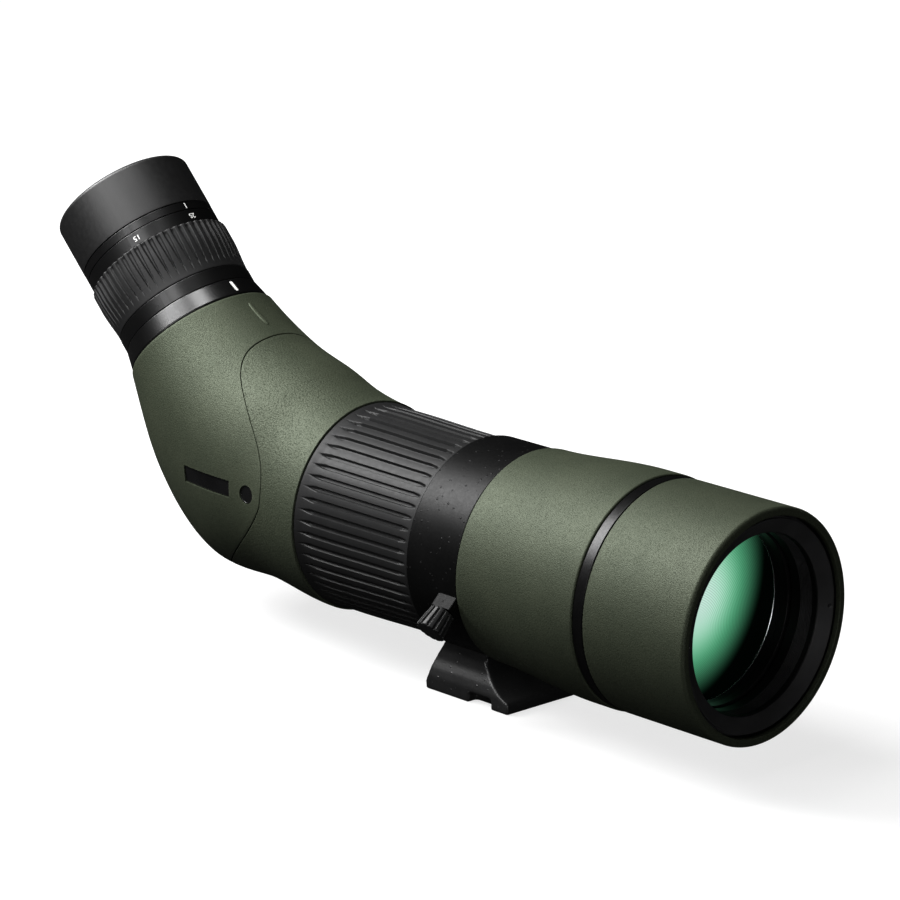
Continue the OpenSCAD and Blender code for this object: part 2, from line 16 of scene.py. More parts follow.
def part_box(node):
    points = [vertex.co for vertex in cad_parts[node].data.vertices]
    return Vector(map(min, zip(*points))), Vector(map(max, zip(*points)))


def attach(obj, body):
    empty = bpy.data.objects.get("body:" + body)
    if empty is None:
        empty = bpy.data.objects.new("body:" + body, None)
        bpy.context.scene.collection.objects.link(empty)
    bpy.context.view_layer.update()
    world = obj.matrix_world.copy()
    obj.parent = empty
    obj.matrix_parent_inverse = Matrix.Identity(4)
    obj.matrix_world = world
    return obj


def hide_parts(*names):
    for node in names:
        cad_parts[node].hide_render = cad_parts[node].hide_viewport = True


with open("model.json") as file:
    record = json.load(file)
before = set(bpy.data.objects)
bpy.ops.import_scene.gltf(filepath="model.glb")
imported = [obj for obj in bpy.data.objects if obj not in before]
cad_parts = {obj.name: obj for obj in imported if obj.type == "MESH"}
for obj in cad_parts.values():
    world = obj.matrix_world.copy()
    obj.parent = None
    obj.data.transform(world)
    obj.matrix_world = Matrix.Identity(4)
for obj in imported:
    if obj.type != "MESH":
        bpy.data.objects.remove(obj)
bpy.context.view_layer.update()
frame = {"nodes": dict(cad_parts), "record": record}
MM = 0.001

# ------------------------------------------------------------------ driving dimensions (mm)
tube_low, tube_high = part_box("main_tube")
AXIS_Z = (tube_low[2] + tube_high[2]) / 2 / MM    # height of the main axis
ELBOW_X = -121.3                                  # where the two axes meet
DIAGONAL = math.sqrt(0.5)
EYE_DIRECTION = np.array([-DIAGONAL, 0, DIAGONAL])

# Axes: origin, direction of angle 0, direction of angle 90, direction of z
TUBE = (np.array([0, 0, AXIS_Z]), np.array([0, 0, 1.0]), np.array([0, -1.0, 0]),
        np.array([1.0, 0, 0]))
EYE = (np.array([ELBOW_X, 0, AXIS_Z]), np.array([DIAGONAL, 0, DIAGONAL]),
       np.array([0.0, 1.0, 0.0]), EYE_DIRECTION)
BADGE_X, BADGE_RISE = -101.3, 4.8                 # badge centre; rise is above the main axis
BADGE = (np.array([BADGE_X, -37.2, AXIS_Z + BADGE_RISE]), np.array([1.0, 0, 0]),
         np.array([0, 0, 1.0]), np.array([0, -1.0, 0]))
KNOB_TILT = math.radians(44)                      # below horizontal, towards -Y
KNOB_DIRECTION = np.array([0, -math.cos(KNOB_TILT), -math.sin(KNOB_TILT)])
KNOB = (np.array([8, -41.0, AXIS_Z - 14.4]), np.array([1.0, 0, 0]),
        np.cross(KNOB_DIRECTION, np.array([1.0, 0, 0])), KNOB_DIRECTION)

# Front ring
THREAD_START, THREAD_PITCH, THREAD_TURNS = 112.9, 0.72, 8
THREAD_MINOR, THREAD_MAJOR = 33.0, 33.42
CONE_RIM, CONE_BOTTOM = (38.35, 123.75), (33.25, 121.0)   # radius, x

# Front lens
LENS_RADIUS, LENS_FRONT_X, LENS_BACK_X = 33.45, 104.5, 95.6
LENS_FRONT_CURVE, LENS_BACK_CURVE = 150, 200

# Prism housing: half sizes of its skin at five even steps from the tube to the neck
HALF_ABOVE = [40.6, 42.4, 42.2, 36.5, 31.0]
HALF_BELOW = [40.6, 41.4, 52.1, 46.7, 31.0]
HALF_WIDTH = [40.6, 37.8, 37.8, 35.4, 31.0]
HOUSING_FRONT_X, NECK_LENGTH = -72.75, 66.3
HOUSING_LENGTH = 112.0         # centre line per unit of t, used to round the shell edges
SHELL_THICKNESS = 2.0
SEAM_HALF_GAP = 0.0017         # in t
PLATE_X, PLATE_RISE = -124.5, 4.9

# Fluted grips: start and end along their axis, number of flutes
FOCUS_START, FOCUS_END, FOCUS_FLUTES = -72.6, -13.1, 56
ZOOM_START, ZOOM_END, ZOOM_FLUTES = 81.0, 102.38, 56
KNOB_LENGTH, KNOB_FLUTES = 9.0, 13

# Eyepiece
LOCK_WIDE, LOCK_NARROW = (30.25, 67.3), (28.75, 74.3)     # radius, station
BAND_RADIUS = 28.3             # scale and index bands
COLLAR_HALF = 12.9             # half length of the tripod collar


# ------------------------------------------------------------------ placing and profiles
def place(axes, x, y, z):
    """Points with local coordinates x, y, z in the given axes."""
    origin, a, b, c = axes
    return origin + np.multiply.outer(x, a) + np.multiply.outer(y, b) + np.multiply.outer(z, c)


def polar(axes, radius, angle, z):
    """Points from radius, angle and station, broadcast together and flattened."""
    radius, angle, z = np.broadcast_arrays(radius, angle, z)
    x, y = radius * np.cos(angle), radius * np.sin(angle)
    return place(axes, x.ravel(), y.ravel(), z.ravel())


def circle(sides):
    return np.arange(sides) * 2 * math.pi / sides


def smoothstep(low, high, x):
    t = np.clip((x - low) / (high - low), 0, 1)
    return t * t * (3 - 2 * t)


def unit(v):
    return v / np.linalg.norm(v)


def angle_between(u, v):
    cosine = float(u @ v) / (np.linalg.norm(u) * np.linalg.norm(v))
    return math.acos(max(-1, min(1, cosine)))


def round_corners(corners, steps):
    """Points and outward normals of a closed outline of (radius, station, rounding) corners.

    A rounding of 0 marks a point of a smooth curve, which stays as it is.
    """
    cross = sum(a[0] * b[1] - b[0] * a[1] for a, b in zip(corners, corners[1:] + corners[:1]))
    if cross < 0:
        corners = corners[::-1]
    outline = [np.array(corner[:2], float) for corner in corners]
    points, normals = [], []

    def edge_normal(start, end):
        along = unit(end - start)
        return np.array([along[1], -along[0]])

    for i, point in enumerate(outline):
        before, after = outline[i - 1], outline[(i + 1) % len(outline)]
        rounding = corners[i][2]
        normal_in, normal_out = edge_normal(before, point), edge_normal(point, after)
        if rounding <= 0:
            points.append(point)
            normals.append(unit(normal_in + normal_out))
            continue
        back, forth = unit(before - point), unit(after - point)
        half = angle_between(back, forth) / 2
        trim = min(rounding / math.tan(half), 0.45 * np.linalg.norm(before - point),
                   0.45 * np.linalg.norm(after - point))
        centre = point + unit(back + forth) * (trim * math.tan(half) / math.sin(half))
        first, last = point + back * trim - centre, point + forth * trim - centre
        sweep = angle_between(first, last)
        for k in range(steps + 1):
            f = k / steps
            if sweep < 1e-5:
                spoke = first
            else:
                spoke = math.sin((1 - f) * sweep) * first + math.sin(f * sweep) * last
                spoke = spoke / math.sin(sweep)
            points.append(centre + spoke)
            normal = unit(spoke)
            outward = normal_in * (1 - f) + normal_out * f
            normals.append(-normal if normal @ outward < 0 else normal)
    return np.array(points), np.array(normals)


def edge_steps(radius, count):
    """Distances from an edge that sample its rounding evenly by angle."""
    return radius * (1 - np.cos(np.linspace(0, math.pi / 2, count)))


def edge_drop(distance, radius):
    """Drop of a rounded edge's surface at a distance from the edge."""
    distance = np.clip(distance, 0, radius)
    return radius - np.sqrt(np.maximum(radius ** 2 - (radius - distance) ** 2, 0))


def end_drop(z, start, end, radius):
    return edge_drop(np.minimum(z - start, end - z), radius)


def dense_ends(start, end, radius, count, edge_count):
    """Stations from start to end, closely spaced within radius of either end."""
    steps = edge_steps(radius, edge_count)
    middle = np.linspace(start + radius, end - radius, count)[1:-1]
    return np.concatenate([start + steps, middle, (end - steps)[::-1]])


# ------------------------------------------------------------------ meshes
def band(first, second, n):
    """Quads between two rings of n vertices that start at these indices."""
    return [(first + j, first + (j + 1) % n, second + (j + 1) % n, second + j)
            for j in range(n)]


def prism_faces(n):
    return [tuple(range(n)), tuple(range(2 * n - 1, n - 1, -1))] + band(0, n, n)


def sleeve_faces(outer_rows, inner_rows, n):
    """Faces of a closed sleeve whose outer rings come first, then its inner rings."""
    inner = outer_rows * n
    faces = []
    for i in range(outer_rows - 1):
        faces += band(i * n, (i + 1) * n, n)
    for i in range(inner_rows - 1):
        faces += band(inner + (i + 1) * n, inner + i * n, n)
    return faces + band(inner, 0, n) + band(inner - n, inner + (inner_rows - 1) * n, n)


def shade_smooth(ob, sharp=None):
    """Smooth shading, with edges steeper than sharp degrees kept hard."""
    ob.data.polygons.foreach_set("use_smooth", [True] * len(ob.data.polygons))
    if sharp is not None:
        ob.data.set_sharp_from_angle(angle=math.radians(sharp))


def make(name, verts, faces, smooth=True):
    mesh = bpy.data.meshes.new(name)
    mesh.from_pydata((np.asarray(verts) * MM).tolist(), [], faces)
    mesh.validate()
    mesh.update()
    mesh.polygons.foreach_set("use_smooth", [smooth] * len(mesh.polygons))
    ob = bpy.data.objects.new(name, mesh)
    bpy.context.scene.collection.objects.link(ob)
    return ob


def solid(name, verts, faces, sharp=None):
    """Closed mesh with outward faces: flat shaded, or smooth with edges above sharp degrees."""
    ob = make(name, verts, faces, smooth=sharp is not None)
    bm = bmesh.new()
    bm.from_mesh(ob.data)
    bmesh.ops.recalc_face_normals(bm, faces=bm.faces)
    bm.to_mesh(ob.data)
    bm.free()
    if sharp is not None:
        ob.data.set_sharp_from_angle(angle=math.radians(sharp))
    return ob


def lathe(name, corners, axes=TUBE, sides=288, steps=5):
    """Turned solid from a closed outline of (radius, station, rounding) corners."""
    points, normals = round_corners(corners, steps)
    angle = circle(sides)
    rows = len(points)
    faces = []
    for i in range(rows):
        faces += band(i * sides, (i + 1) % rows * sides, sides)
    ob = make(name, polar(axes, points[:, :1], angle, points[:, 1:]), faces)
    directions = polar((0, *axes[1:]), normals[:, :1], angle, normals[:, 1:])
    ob.data.normals_split_custom_set_from_vertices(directions.tolist())
    return ob


def sleeve(name, outer_radius, stations, bore, axes, sides):
    """Closed sleeve: outside radius is outer_radius(angle, station), inside is a plain bore."""
    angle = circle(sides)
    z = stations[:, None]
    outer = polar(axes, outer_radius(angle, z), angle, z)
    inner = polar(axes, bore, angle, z[[0, -1]])
    faces = sleeve_faces(len(stations), 2, sides)
    return solid(name, np.concatenate([outer, inner]), faces, sharp=60)


def apply_modifiers(ob):
    bpy.context.view_layer.update()
    depsgraph = bpy.context.evaluated_depsgraph_get()
    mesh = bpy.data.meshes.new_from_object(ob.evaluated_get(depsgraph))
    ob.modifiers.clear()
    ob.data = mesh


def boolean(ob, cutter, operation="DIFFERENCE"):
    modifier = ob.modifiers.new("cut", "BOOLEAN")
    modifier.operation = operation
    modifier.object = cutter
    modifier.solver = "EXACT"
    apply_modifiers(ob)
    bpy.data.objects.remove(cutter)


def cylinder(sides, radius, depth, centre=(0, 0, 0), rotation=(0, 0, 0)):
    bpy.ops.mesh.primitive_cylinder_add(
        vertices=sides, radius=radius * MM, depth=depth * MM,
        location=[v * MM for v in centre], rotation=rotation)
    return bpy.context.object


def rounded_box(centre, size, bevel):
    bpy.ops.mesh.primitive_cube_add(size=1, location=(0, 0, 0))
    ob = bpy.context.object
    ob.data.transform(Matrix.Diagonal((*(v * MM for v in size), 1)))
    modifier = ob.modifiers.new("bevel", "BEVEL")
    modifier.width = bevel * MM
    modifier.segments = 4
    apply_modifiers(ob)
    ob.data.transform(Matrix.Translation(Vector(centre) * MM))
    return ob


# ------------------------------------------------------------------ shader nodes
MIDDLE = (0.3, 0.7)            # where most of a noise's values lie
UNIT = (0.0, 1.0)


class Shader:
    """A material and short calls that add a node and return one of its outputs."""

    def __init__(self, name):
        self.material = bpy.data.materials.new(name)
        self.material.use_nodes = True
        self.tree = self.material.node_tree
        self.coords = self.node("ShaderNodeTexCoord", out="Object")

    def put(self, socket, value):
        if hasattr(value, "links"):
            self.tree.links.new(value, socket)
            return
        if socket.type == "RGBA" and isinstance(value, tuple) and len(value) == 3:
            value = (*value, 1)
        socket.default_value = value

    def node(self, kind, inputs=None, out=0, **props):
        node = self.tree.nodes.new(kind)
        for key, value in props.items():
            setattr(node, key, value)
        for key, value in (inputs or {}).items():
            self.put(node.inputs[key], value)
        return node.outputs[out]

    def noise(self, scale, detail=2, rough=0.5, vector=None):
        return self.node("ShaderNodeTexNoise", {
            "Vector": vector or self.coords, "Scale": scale,
            "Detail": detail, "Roughness": rough})

    def cells(self, scale):
        return self.node("ShaderNodeTexVoronoi", {"Vector": self.coords, "Scale": scale})

    def math(self, operation, *values):
        return self.node("ShaderNodeMath", dict(enumerate(values)), operation=operation)

    def add(self, a, b):
        return self.math("ADD", a, b)

    def mul(self, a, b):
        return self.math("MULTIPLY", a, b)

    def ramp(self, value, over=MIDDLE, to=UNIT):
        """Smooth step that maps the range over onto the range to."""
        return self.node("ShaderNodeMapRange", {
            "Value": value, "From Min": over[0], "From Max": over[1],
            "To Min": to[0], "To Max": to[1]}, interpolation_type="SMOOTHSTEP")

    def mix(self, factor, a, b):
        return self.node("ShaderNodeMix", {0: factor, 6: a, 7: b}, out=2, data_type="RGBA")

    def mottle(self, scale, dark, light, detail=3, rough=0.5):
        """Colour that drifts between dark and light."""
        return self.mix(self.ramp(self.noise(scale, detail, rough)), dark, light)

    def stain(self, color, mask, amount, to):
        """Shift a colour towards another where the mask is high."""
        return self.mix(self.mul(mask, amount), color, to)

    def convex(self, over=(0.505, 0.56)):
        """Mask of the outward edges."""
        pointiness = self.node("ShaderNodeNewGeometry", out="Pointiness")
        return self.ramp(pointiness, over)

    def rings(self, axis, density, detail):
        """Noise that varies only along an axis: the rings of turned metal."""
        along = self.node("ShaderNodeVectorMath", {0: self.coords, 1: axis}, out="Value",
                          operation="DOT_PRODUCT")
        vector = self.node("ShaderNodeCombineXYZ", {"X": self.mul(along, density)})
        return self.noise(scale=1.0, detail=detail, rough=0.7, vector=vector)

    def split(self, vector):
        return self.node("ShaderNodeSeparateXYZ", {0: vector}).node.outputs

    def bump(self, height, distance, strength):
        return self.node("ShaderNodeBump", {
            "Height": height, "Distance": distance, "Strength": strength})

    def finish(self, **inputs):
        """Set the surface's inputs, with _ for each space in their names."""
        for key, value in inputs.items():
            self.put(self.tree.nodes["Principled BSDF"].inputs[key.replace("_", " ")], value)
        return self.material


def grey(level, blue=None):
    return (level, level, level if blue is None else blue)


# ------------------------------------------------------------------ materials
def green_rubber(name, coarse=1.0, tint=1.0):
    """Pebbled, matt olive armour: two sizes of grain with painted shade in its pits, faint
    mottling, rubbed edges.
    """
    s = Shader(name)

    def olive(*rgb):
        return tuple(v * tint for v in rgb)

    grain = s.cells(scale=1900 / coarse)
    fine = s.noise(scale=2700 / coarse, rough=0.55)
    pits = s.ramp(fine, over=(0.36, 0.50), to=(1.0, 0.0))
    flecks = s.ramp(fine, over=(0.56, 0.70))
    color = s.mottle(scale=45, rough=0.55, dark=olive(0.031, 0.037, 0.024),
                     light=olive(0.037, 0.043, 0.028))
    # Painted shade: the pits of the grain are darkened
    color = s.stain(color, pits, amount=0.44, to=olive(0.012, 0.015, 0.009))
    color = s.stain(color, flecks, amount=0.3, to=(0.075, 0.085, 0.060))
    color = s.stain(color, s.convex(), amount=0.30, to=(0.075, 0.083, 0.060))
    rough = s.ramp(s.noise(scale=220, detail=3, rough=0.6), to=(0.555, 0.585))
    height = s.add(s.mul(grain, -0.55), s.mul(fine, 1.1))
    return s.finish(
        Base_Color=color, Roughness=s.add(rough, s.mul(pits, 0.08)),
        Specular_IOR_Level=s.ramp(pits, over=UNIT, to=(0.56, 0.36)),
        Specular_Tint=(0.89, 1.0, 0.78, 1),
        Normal=s.bump(height, distance=0.00010 * coarse, strength=0.9))


def black_rubber(name, tone, rough, grain=2200, bump=0.00003, spec=0.28):
    """Fine-grained black rubber with paler edges and a little dust."""
    s = Shader(name)
    color = s.mottle(scale=70, dark=grey(tone * 0.92, tone * 0.94),
                     light=grey(tone * 1.08, tone * 1.10))
    color = s.stain(color, s.convex(over=(0.51, 0.6)), amount=0.5, to=grey(tone * 1.8))
    dust = s.ramp(s.noise(scale=4200, detail=1), over=(0.70, 0.78))
    color = s.stain(color, dust, amount=0.10, to=grey(0.2))
    fine = s.noise(scale=grain, detail=3, rough=0.6)
    return s.finish(
        Base_Color=color, Roughness=s.ramp(s.noise(scale=500), to=(rough - 0.02, rough + 0.03)),
        Specular_IOR_Level=spec, Normal=s.bump(fine, distance=bump, strength=0.6))


def powder_coat(name, tone, rough, spec):
    """Cast part under a fine powder coat, with scattered bright pinpoints."""
    s = Shader(name)
    keep = s.ramp(s.noise(scale=300, detail=1), over=(0.44, 0.52))
    dots = s.mul(s.ramp(s.cells(scale=420), over=(0.22, 0.08)), keep)
    color = s.mottle(scale=60, dark=grey(tone * 0.8, tone * 0.82),
                     light=grey(tone * 1.25, tone * 1.27))
    color = s.stain(color, dots, amount=0.3, to=grey(0.04, 0.041))
    color = s.stain(color, s.convex(over=(0.52, 0.60)), amount=0.15, to=grey(0.03))
    peel = s.noise(scale=900)
    fine = s.noise(scale=3000, detail=3, rough=0.6)
    height = s.add(s.mul(peel, 0.05), s.add(s.mul(fine, 0.12), s.mul(dots, 1.8)))
    gloss = s.ramp(s.noise(scale=900, rough=0.6), to=(rough - 0.02, rough + 0.03))
    return s.finish(Base_Color=color, Roughness=gloss, Specular_IOR_Level=spec,
                    Normal=s.bump(height, distance=0.00008, strength=0.8))


def anodised(name, axis=(1, 0, 0), tone=0.012, rough=0.27, lines=0.5, spec=0.6, wear=0.35):
    """Turned and black anodised metal: fine rings along its axis, satin, bright edges."""
    s = Shader(name)
    rings = s.rings(axis, density=9000.0, detail=3.0)
    color = s.mottle(scale=80, dark=grey(tone * 0.85, tone * 0.88),
                     light=grey(tone * 1.25, tone * 1.3))
    color = s.stain(color, s.convex(over=(0.52, 0.60)), amount=wear, to=grey(0.06, 0.062))
    gloss = s.add(s.ramp(rings, to=(rough - 0.02, rough + 0.02)),
                  s.ramp(s.noise(scale=150), to=(-0.005, 0.01)))
    height = s.add(s.mul(rings, lines), s.mul(s.noise(scale=3500, rough=0.6), 0.15))
    return s.finish(Base_Color=color, Roughness=gloss, Specular_IOR_Level=spec,
                    Normal=s.bump(height, distance=0.000002, strength=0.4))


def metal(name, color, rough, axis=(1, 0, 0)):
    """Bare turned metal."""
    s = Shader(name)
    rings = s.rings(axis, density=6000.0, detail=4.0)
    return s.finish(
        Base_Color=s.mottle(scale=120, dark=tuple(v * 0.86 for v in color), light=color),
        Roughness=s.ramp(rings, to=(rough - 0.07, rough + 0.08)), Metallic=1.0,
        Normal=s.bump(rings, distance=0.000007, strength=0.7))


def casting(name, color):
    s = Shader(name)
    peel = s.noise(scale=700, detail=4, rough=0.6)
    mottled = s.mottle(scale=50, dark=tuple(v * 0.8 for v in color),
                       light=tuple(v * 1.3 for v in color))
    return s.finish(Base_Color=mottled, Roughness=s.ramp(peel, to=(0.5, 0.65)),
                    Normal=s.bump(peel, distance=0.00008, strength=0.6))


def coated_glass(name, tint):
    """Optical glass: clear inside, with a faint coloured film and a trace of dust."""
    s = Shader(name)
    facing = s.node("ShaderNodeLayerWeight", {"Blend": 0.4}, out=1)
    return s.finish(
        Base_Color=s.mix(facing, tint, tuple(v * 0.75 for v in tint)),
        Roughness=s.ramp(s.noise(scale=1500), over=(0.66, 0.8), to=(0.0, 0.12)),
        IOR=1.52, Transmission_Weight=1.0, Specular_Tint=(0.5, 0.9, 0.7, 1),
        Normal=s.bump(s.noise(scale=300, detail=1), distance=0.0000004, strength=0.3))


def white_paint(name, tone):
    s = Shader(name)
    grain = s.noise(scale=5000)
    color = s.mix(s.ramp(grain, over=(0.35, 0.7)), grey(tone, tone * 0.98),
                  grey(tone * 0.82, tone * 0.80))
    return s.finish(Base_Color=color, Roughness=s.ramp(grain, to=(0.4, 0.55)),
                    Normal=s.bump(grain, distance=0.000008, strength=0.5))


def gloss_plastic(name, tone, rough, spec=0.38):
    s = Shader(name)
    broad = s.noise(scale=90, detail=3)
    color = s.mix(s.ramp(broad), grey(tone * 0.8, tone * 0.82), grey(tone * 1.4, tone * 1.45))
    gloss = s.ramp(s.noise(scale=2500), over=(0.3, 0.75), to=(rough - 0.03, rough + 0.07))
    return s.finish(Base_Color=color, Roughness=gloss, Specular_IOR_Level=spec,
                    Normal=s.bump(broad, distance=0.00001, strength=0.3))


def objective_coating_painted_reflection(name):
    """Front lens with a green multilayer coating.

    Its film carries a painted reflection: the lens glows, by emission, where its reflection ray
    points to a large pale light in front of the scope that is no lamp of the scene: mint where
    the painted reflection is strongest, deep green towards its edge, then black. Fine arcs in
    the glow are a painted reflection of the ringed wall around the lens.
    """
    light_azimuth, light_elevation = math.radians(39), math.radians(-13)
    light_flatness = 1.2                      # squeezes the reflection's height
    arcs_y, arcs_rise, arc_pitch = -0.016, 0.006, 0.00082     # metres
    s = Shader(name)

    def length(a, b):
        return s.math("SQRT", s.add(s.mul(a, a), s.mul(b, b)))

    ray = s.split(s.node("ShaderNodeTexCoord", out="Reflection"))
    azimuth = s.math("ARCTAN2", ray[1], ray[0])
    elevation = s.math("ARCSINE", ray[2])
    away = length(
        s.math("SUBTRACT", azimuth, light_azimuth),
        s.mul(s.math("SUBTRACT", elevation, light_elevation), light_flatness))
    where = s.split(s.coords)
    radius = length(s.add(where[1], -arcs_y),
                    s.math("SUBTRACT", where[2], AXIS_Z * MM - arcs_rise))
    arcs = s.mul(s.math("SINE", s.mul(radius, 2 * math.pi / arc_pitch)), 0.15)
    arcs = s.mul(arcs, s.ramp(radius, over=(0.008, 0.016)))
    # Painted reflection: the lens glows where the reflection ray comes near the pale light, and
    # the arcs ripple that glow
    lit = s.ramp(away, over=(math.radians(29), math.radians(7)))
    core = s.ramp(away, over=(math.radians(19), math.radians(2)))
    return s.finish(
        Base_Color=(0.002, 0.006, 0.004),
        Roughness=s.ramp(s.noise(scale=2200), over=(0.70, 0.82), to=(0.03, 0.2)),
        IOR=1.5, Specular_IOR_Level=0.15, Specular_Tint=(0.35, 1.0, 0.6, 1),
        Emission_Color=s.mix(core, (0.16, 0.62, 0.34), (0.55, 0.76, 0.67)),
        Emission_Strength=s.mul(lit, s.add(1.0, arcs)),
        Normal=s.bump(s.noise(scale=260, detail=1), distance=0.0000005, strength=0.2))


MATERIALS = {
    "armour": green_rubber("armour_green"),
    "armour_coarse": green_rubber("armour_green_coarse", coarse=1.45, tint=0.95),
    "grip": black_rubber("grip_rubber", tone=0.014, rough=0.50, spec=0.24),
    "cup": black_rubber("eyecup_rubber", tone=0.006, rough=0.48, grain=2600, bump=0.00002,
                        spec=0.74),
    "zoom_grip": black_rubber("zoom_grip_rubber", tone=0.014, rough=0.50, spec=0.40),
    "seal": black_rubber("seal_rubber", tone=0.010, rough=0.4),
    "powder": powder_coat("black_powder_coat", tone=0.003, rough=0.42, spec=0.15),
    "lug": powder_coat("lug_coat", tone=0.004, rough=0.46, spec=0.08),
    "knob": powder_coat("knob_coat", tone=0.012, rough=0.42, spec=0.34),
    # Lighter, glossier copy of the collar's powder coat: painted light on the foot
    "foot": powder_coat("foot_coat_painted_light", tone=0.016, rough=0.36, spec=0.8),
    "barrel": anodised("black_anodised_barrel"),
    "eyepiece": anodised("black_anodised_eyepiece", axis=tuple(EYE_DIRECTION), tone=0.003,
                         rough=0.31, spec=0.62, lines=0.2),
    "inside": anodised("black_anodised_inside", tone=0.006, rough=0.42, wear=0.1, spec=0.45),
    # Lighter copies of the black anodising: painted light on the front ring's cone face and
    # filter thread
    "cone": anodised("front_ring_cone_painted_light", tone=0.030, rough=0.40, lines=0.2),
    "thread": anodised("filter_thread_painted_light", tone=0.030, rough=0.35, lines=0.2),
    "gloss": gloss_plastic("gloss_black_ring", tone=0.003, rough=0.31, spec=0.22),
    "plate": gloss_plastic("plate_black", tone=0.006, rough=0.22),
    "plastic": black_rubber("black_plastic", tone=0.014, rough=0.42, grain=1400, bump=0.00002),
    "steel": metal("steel", color=(0.58, 0.58, 0.60), rough=0.3, axis=tuple(EYE_DIRECTION)),
    "aluminium": metal("bare_aluminium", color=(0.72, 0.73, 0.75), rough=0.28),
    "brass": metal("brass", color=(0.72, 0.53, 0.24), rough=0.3, axis=(0, 0, 1)),
    "casting": casting("dark_casting", color=(0.03, 0.03, 0.032)),
    "glass": coated_glass("coated_glass", tint=(0.9, 0.96, 0.94)),
    "lens": objective_coating_painted_reflection("front_lens_coating_painted_reflection"),
    "white": white_paint("white_marking", tone=0.78),
}

# ------------------------------------------------------------------ CAD nodes that stay
SLOT_MATERIAL = {
    "black_casting": "powder", "black_anodised": "barrel", "gloss_black": "gloss",
    "green_rubber": "armour", "black_rubber": "grip", "seal_rubber": "seal",
    "bare_aluminium": "aluminium", "cast_magnesium": "casting", "brass": "brass",
    "steel": "steel", "spring_steel": "steel", "black_plastic": "plastic",
    "objective_glass": "glass", "clear_glass": "glass", "plate_black": "plate",
}
NODE_MATERIAL = {
    **dict.fromkeys(("eyepiece_base", "index_ring", "zoom_core", "eyepiece_lock_ring",
                     "eye_lens_retainer", "eyepiece_barrel"), "eyepiece"),
    **dict.fromkeys(("objective_cell", "lens_retainer", "front_ring", "main_tube",
                     "objective_barrel", "focus_cell"), "inside"),
}


def dress_cad_nodes():
    slots = {part["node"]: part["material_slot"] for part in frame["record"]["subparts"]}
    for name, ob in frame["nodes"].items():
        material = NODE_MATERIAL.get(name) or SLOT_MATERIAL.get(slots.get(name), "barrel")
        ob.data.materials.clear()
        ob.data.materials.append(MATERIALS[material])
        shade_smooth(ob)
        ob.modifiers.new("weld", "WELD").merge_threshold = 1e-6
        ob.modifiers.new("edges", "EDGE_SPLIT").split_angle = math.radians(28)


def piece(ob, body, material, replaces=None):
    """Dress a finished mesh and attach it to the body it moves with."""
    ob.data.materials.clear()
    ob.data.materials.append(MATERIALS[material])
    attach(ob, body)
    if replaces:
        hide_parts(replaces)


# ------------------------------------------------------------------ front of the tube
# Every outline below is a list of (radius, station, corner rounding).
def bell_armour():
    def bell(x):
        """Radius of the armour, which swells towards the front."""
        return (float(40.5 + 3.15 * smoothstep(13, 63, x)), float(x), 0.0)

    outline = [(39.22, 13.1, 0.1), (40.35, 13.1, 1.0), bell(14.4)]
    outline += [bell(x) for x in np.linspace(15.2, 71.6, 40)]
    outline += [(43.6, 73.1, 0.7), (39.22, 73.1, 0.1)]
    piece(lathe("bell_armour", outline, sides=320),
          "optic_body", "armour", "bell_armor")


def trim_band():
    outline = [(39.2, 73.35, 0.1), (43.05, 73.35, 0.35), (43.05, 77.88, 0.35),
               (39.2, 77.88, 0.1)]
    piece(lathe("trim_band", outline, sides=320),
          "optic_body", "gloss", "trim_ring")


def sunshade():
    outline = [(41.42, 78.08, 0.1), (43.25, 78.08, 0.8), (43.25, 125.45, 2.7),
               (40.0, 125.45, 0.45), (40.0, 123.48, 0.1), (41.42, 123.48, 0.1)]
    piece(lathe("sunshade_armour", outline, sides=320, steps=9),
          "sunshade", "armour", "shade_armor")
    outline = [(40.36, 78.12, 0.15), (41.4, 78.12, 0.15), (41.4, 123.42, 0.15),
               (40.36, 123.42, 0.25)]
    piece(lathe("sunshade_sleeve", outline, sides=256),
          "sunshade", "inside", "shade_tube")


def front_ring():
    """Ring with a cone face, a filter thread, a plain bore and two spanner holes."""
    bore = THREAD_MINOR
    outline = [
        (bore, 108.9, 0.1), (36.48, 108.9, 0.1), (36.48, 112.0, 0.1), (38.98, 112.0, 0.1),
        (38.98, 115.0, 0.1), (40.24, 115.0, 0.2), (40.24, 120.2, 0.2), (39.3, 120.2, 0.1),
        (39.3, 122.6, 0.2), (38.75, 122.6, 0.1), (38.75, CONE_RIM[1], 0.18),
    ]
    steps = 9
    for k in range(steps + 1):
        radius, x = (a + (b - a) * k / steps for a, b in zip(CONE_RIM, CONE_BOTTOM))
        outline.append((radius, x, {0: 0.15, steps: 0.12}.get(k, 0.0)))
    outline.append((bore, 120.6, 0.12))
    thread = []
    for turn in range(THREAD_TURNS):
        x = THREAD_START + turn * THREAD_PITCH
        thread += [(THREAD_MINOR, x + 0.10, 0.02), (THREAD_MAJOR, x + 0.30, 0.02),
                   (THREAD_MAJOR, x + 0.42, 0.02), (THREAD_MINOR, x + 0.62, 0.02)]
    ring = lathe("front_ring_body", outline + thread[::-1], steps=3)
    for side in (-1, 1):
        hole = cylinder(sides=40, radius=0.62, depth=5, centre=(124, side * 37.1, AXIS_Z),
                        rotation=(0, math.pi / 2, 0))
        boolean(ring, hole)
    shade_smooth(ring, sharp=30)
    # The cone and thread get the lighter copies of the anodising, painted light; the bore faces
    # get the darker inside finish
    piece(ring, "optic_body", "cone", "front_ring")
    ring.data.materials.append(MATERIALS["inside"])
    ring.data.materials.append(MATERIALS["thread"])
    for face in ring.data.polygons:
        x = face.center.x / MM
        radius = math.hypot(face.center.y / MM, face.center.z / MM - AXIS_Z)
        if radius < 33.15 and x < 120.9:
            face.material_index = 1
        if radius < 33.6 and 112.8 < x < 118.5:
            face.material_index = 2


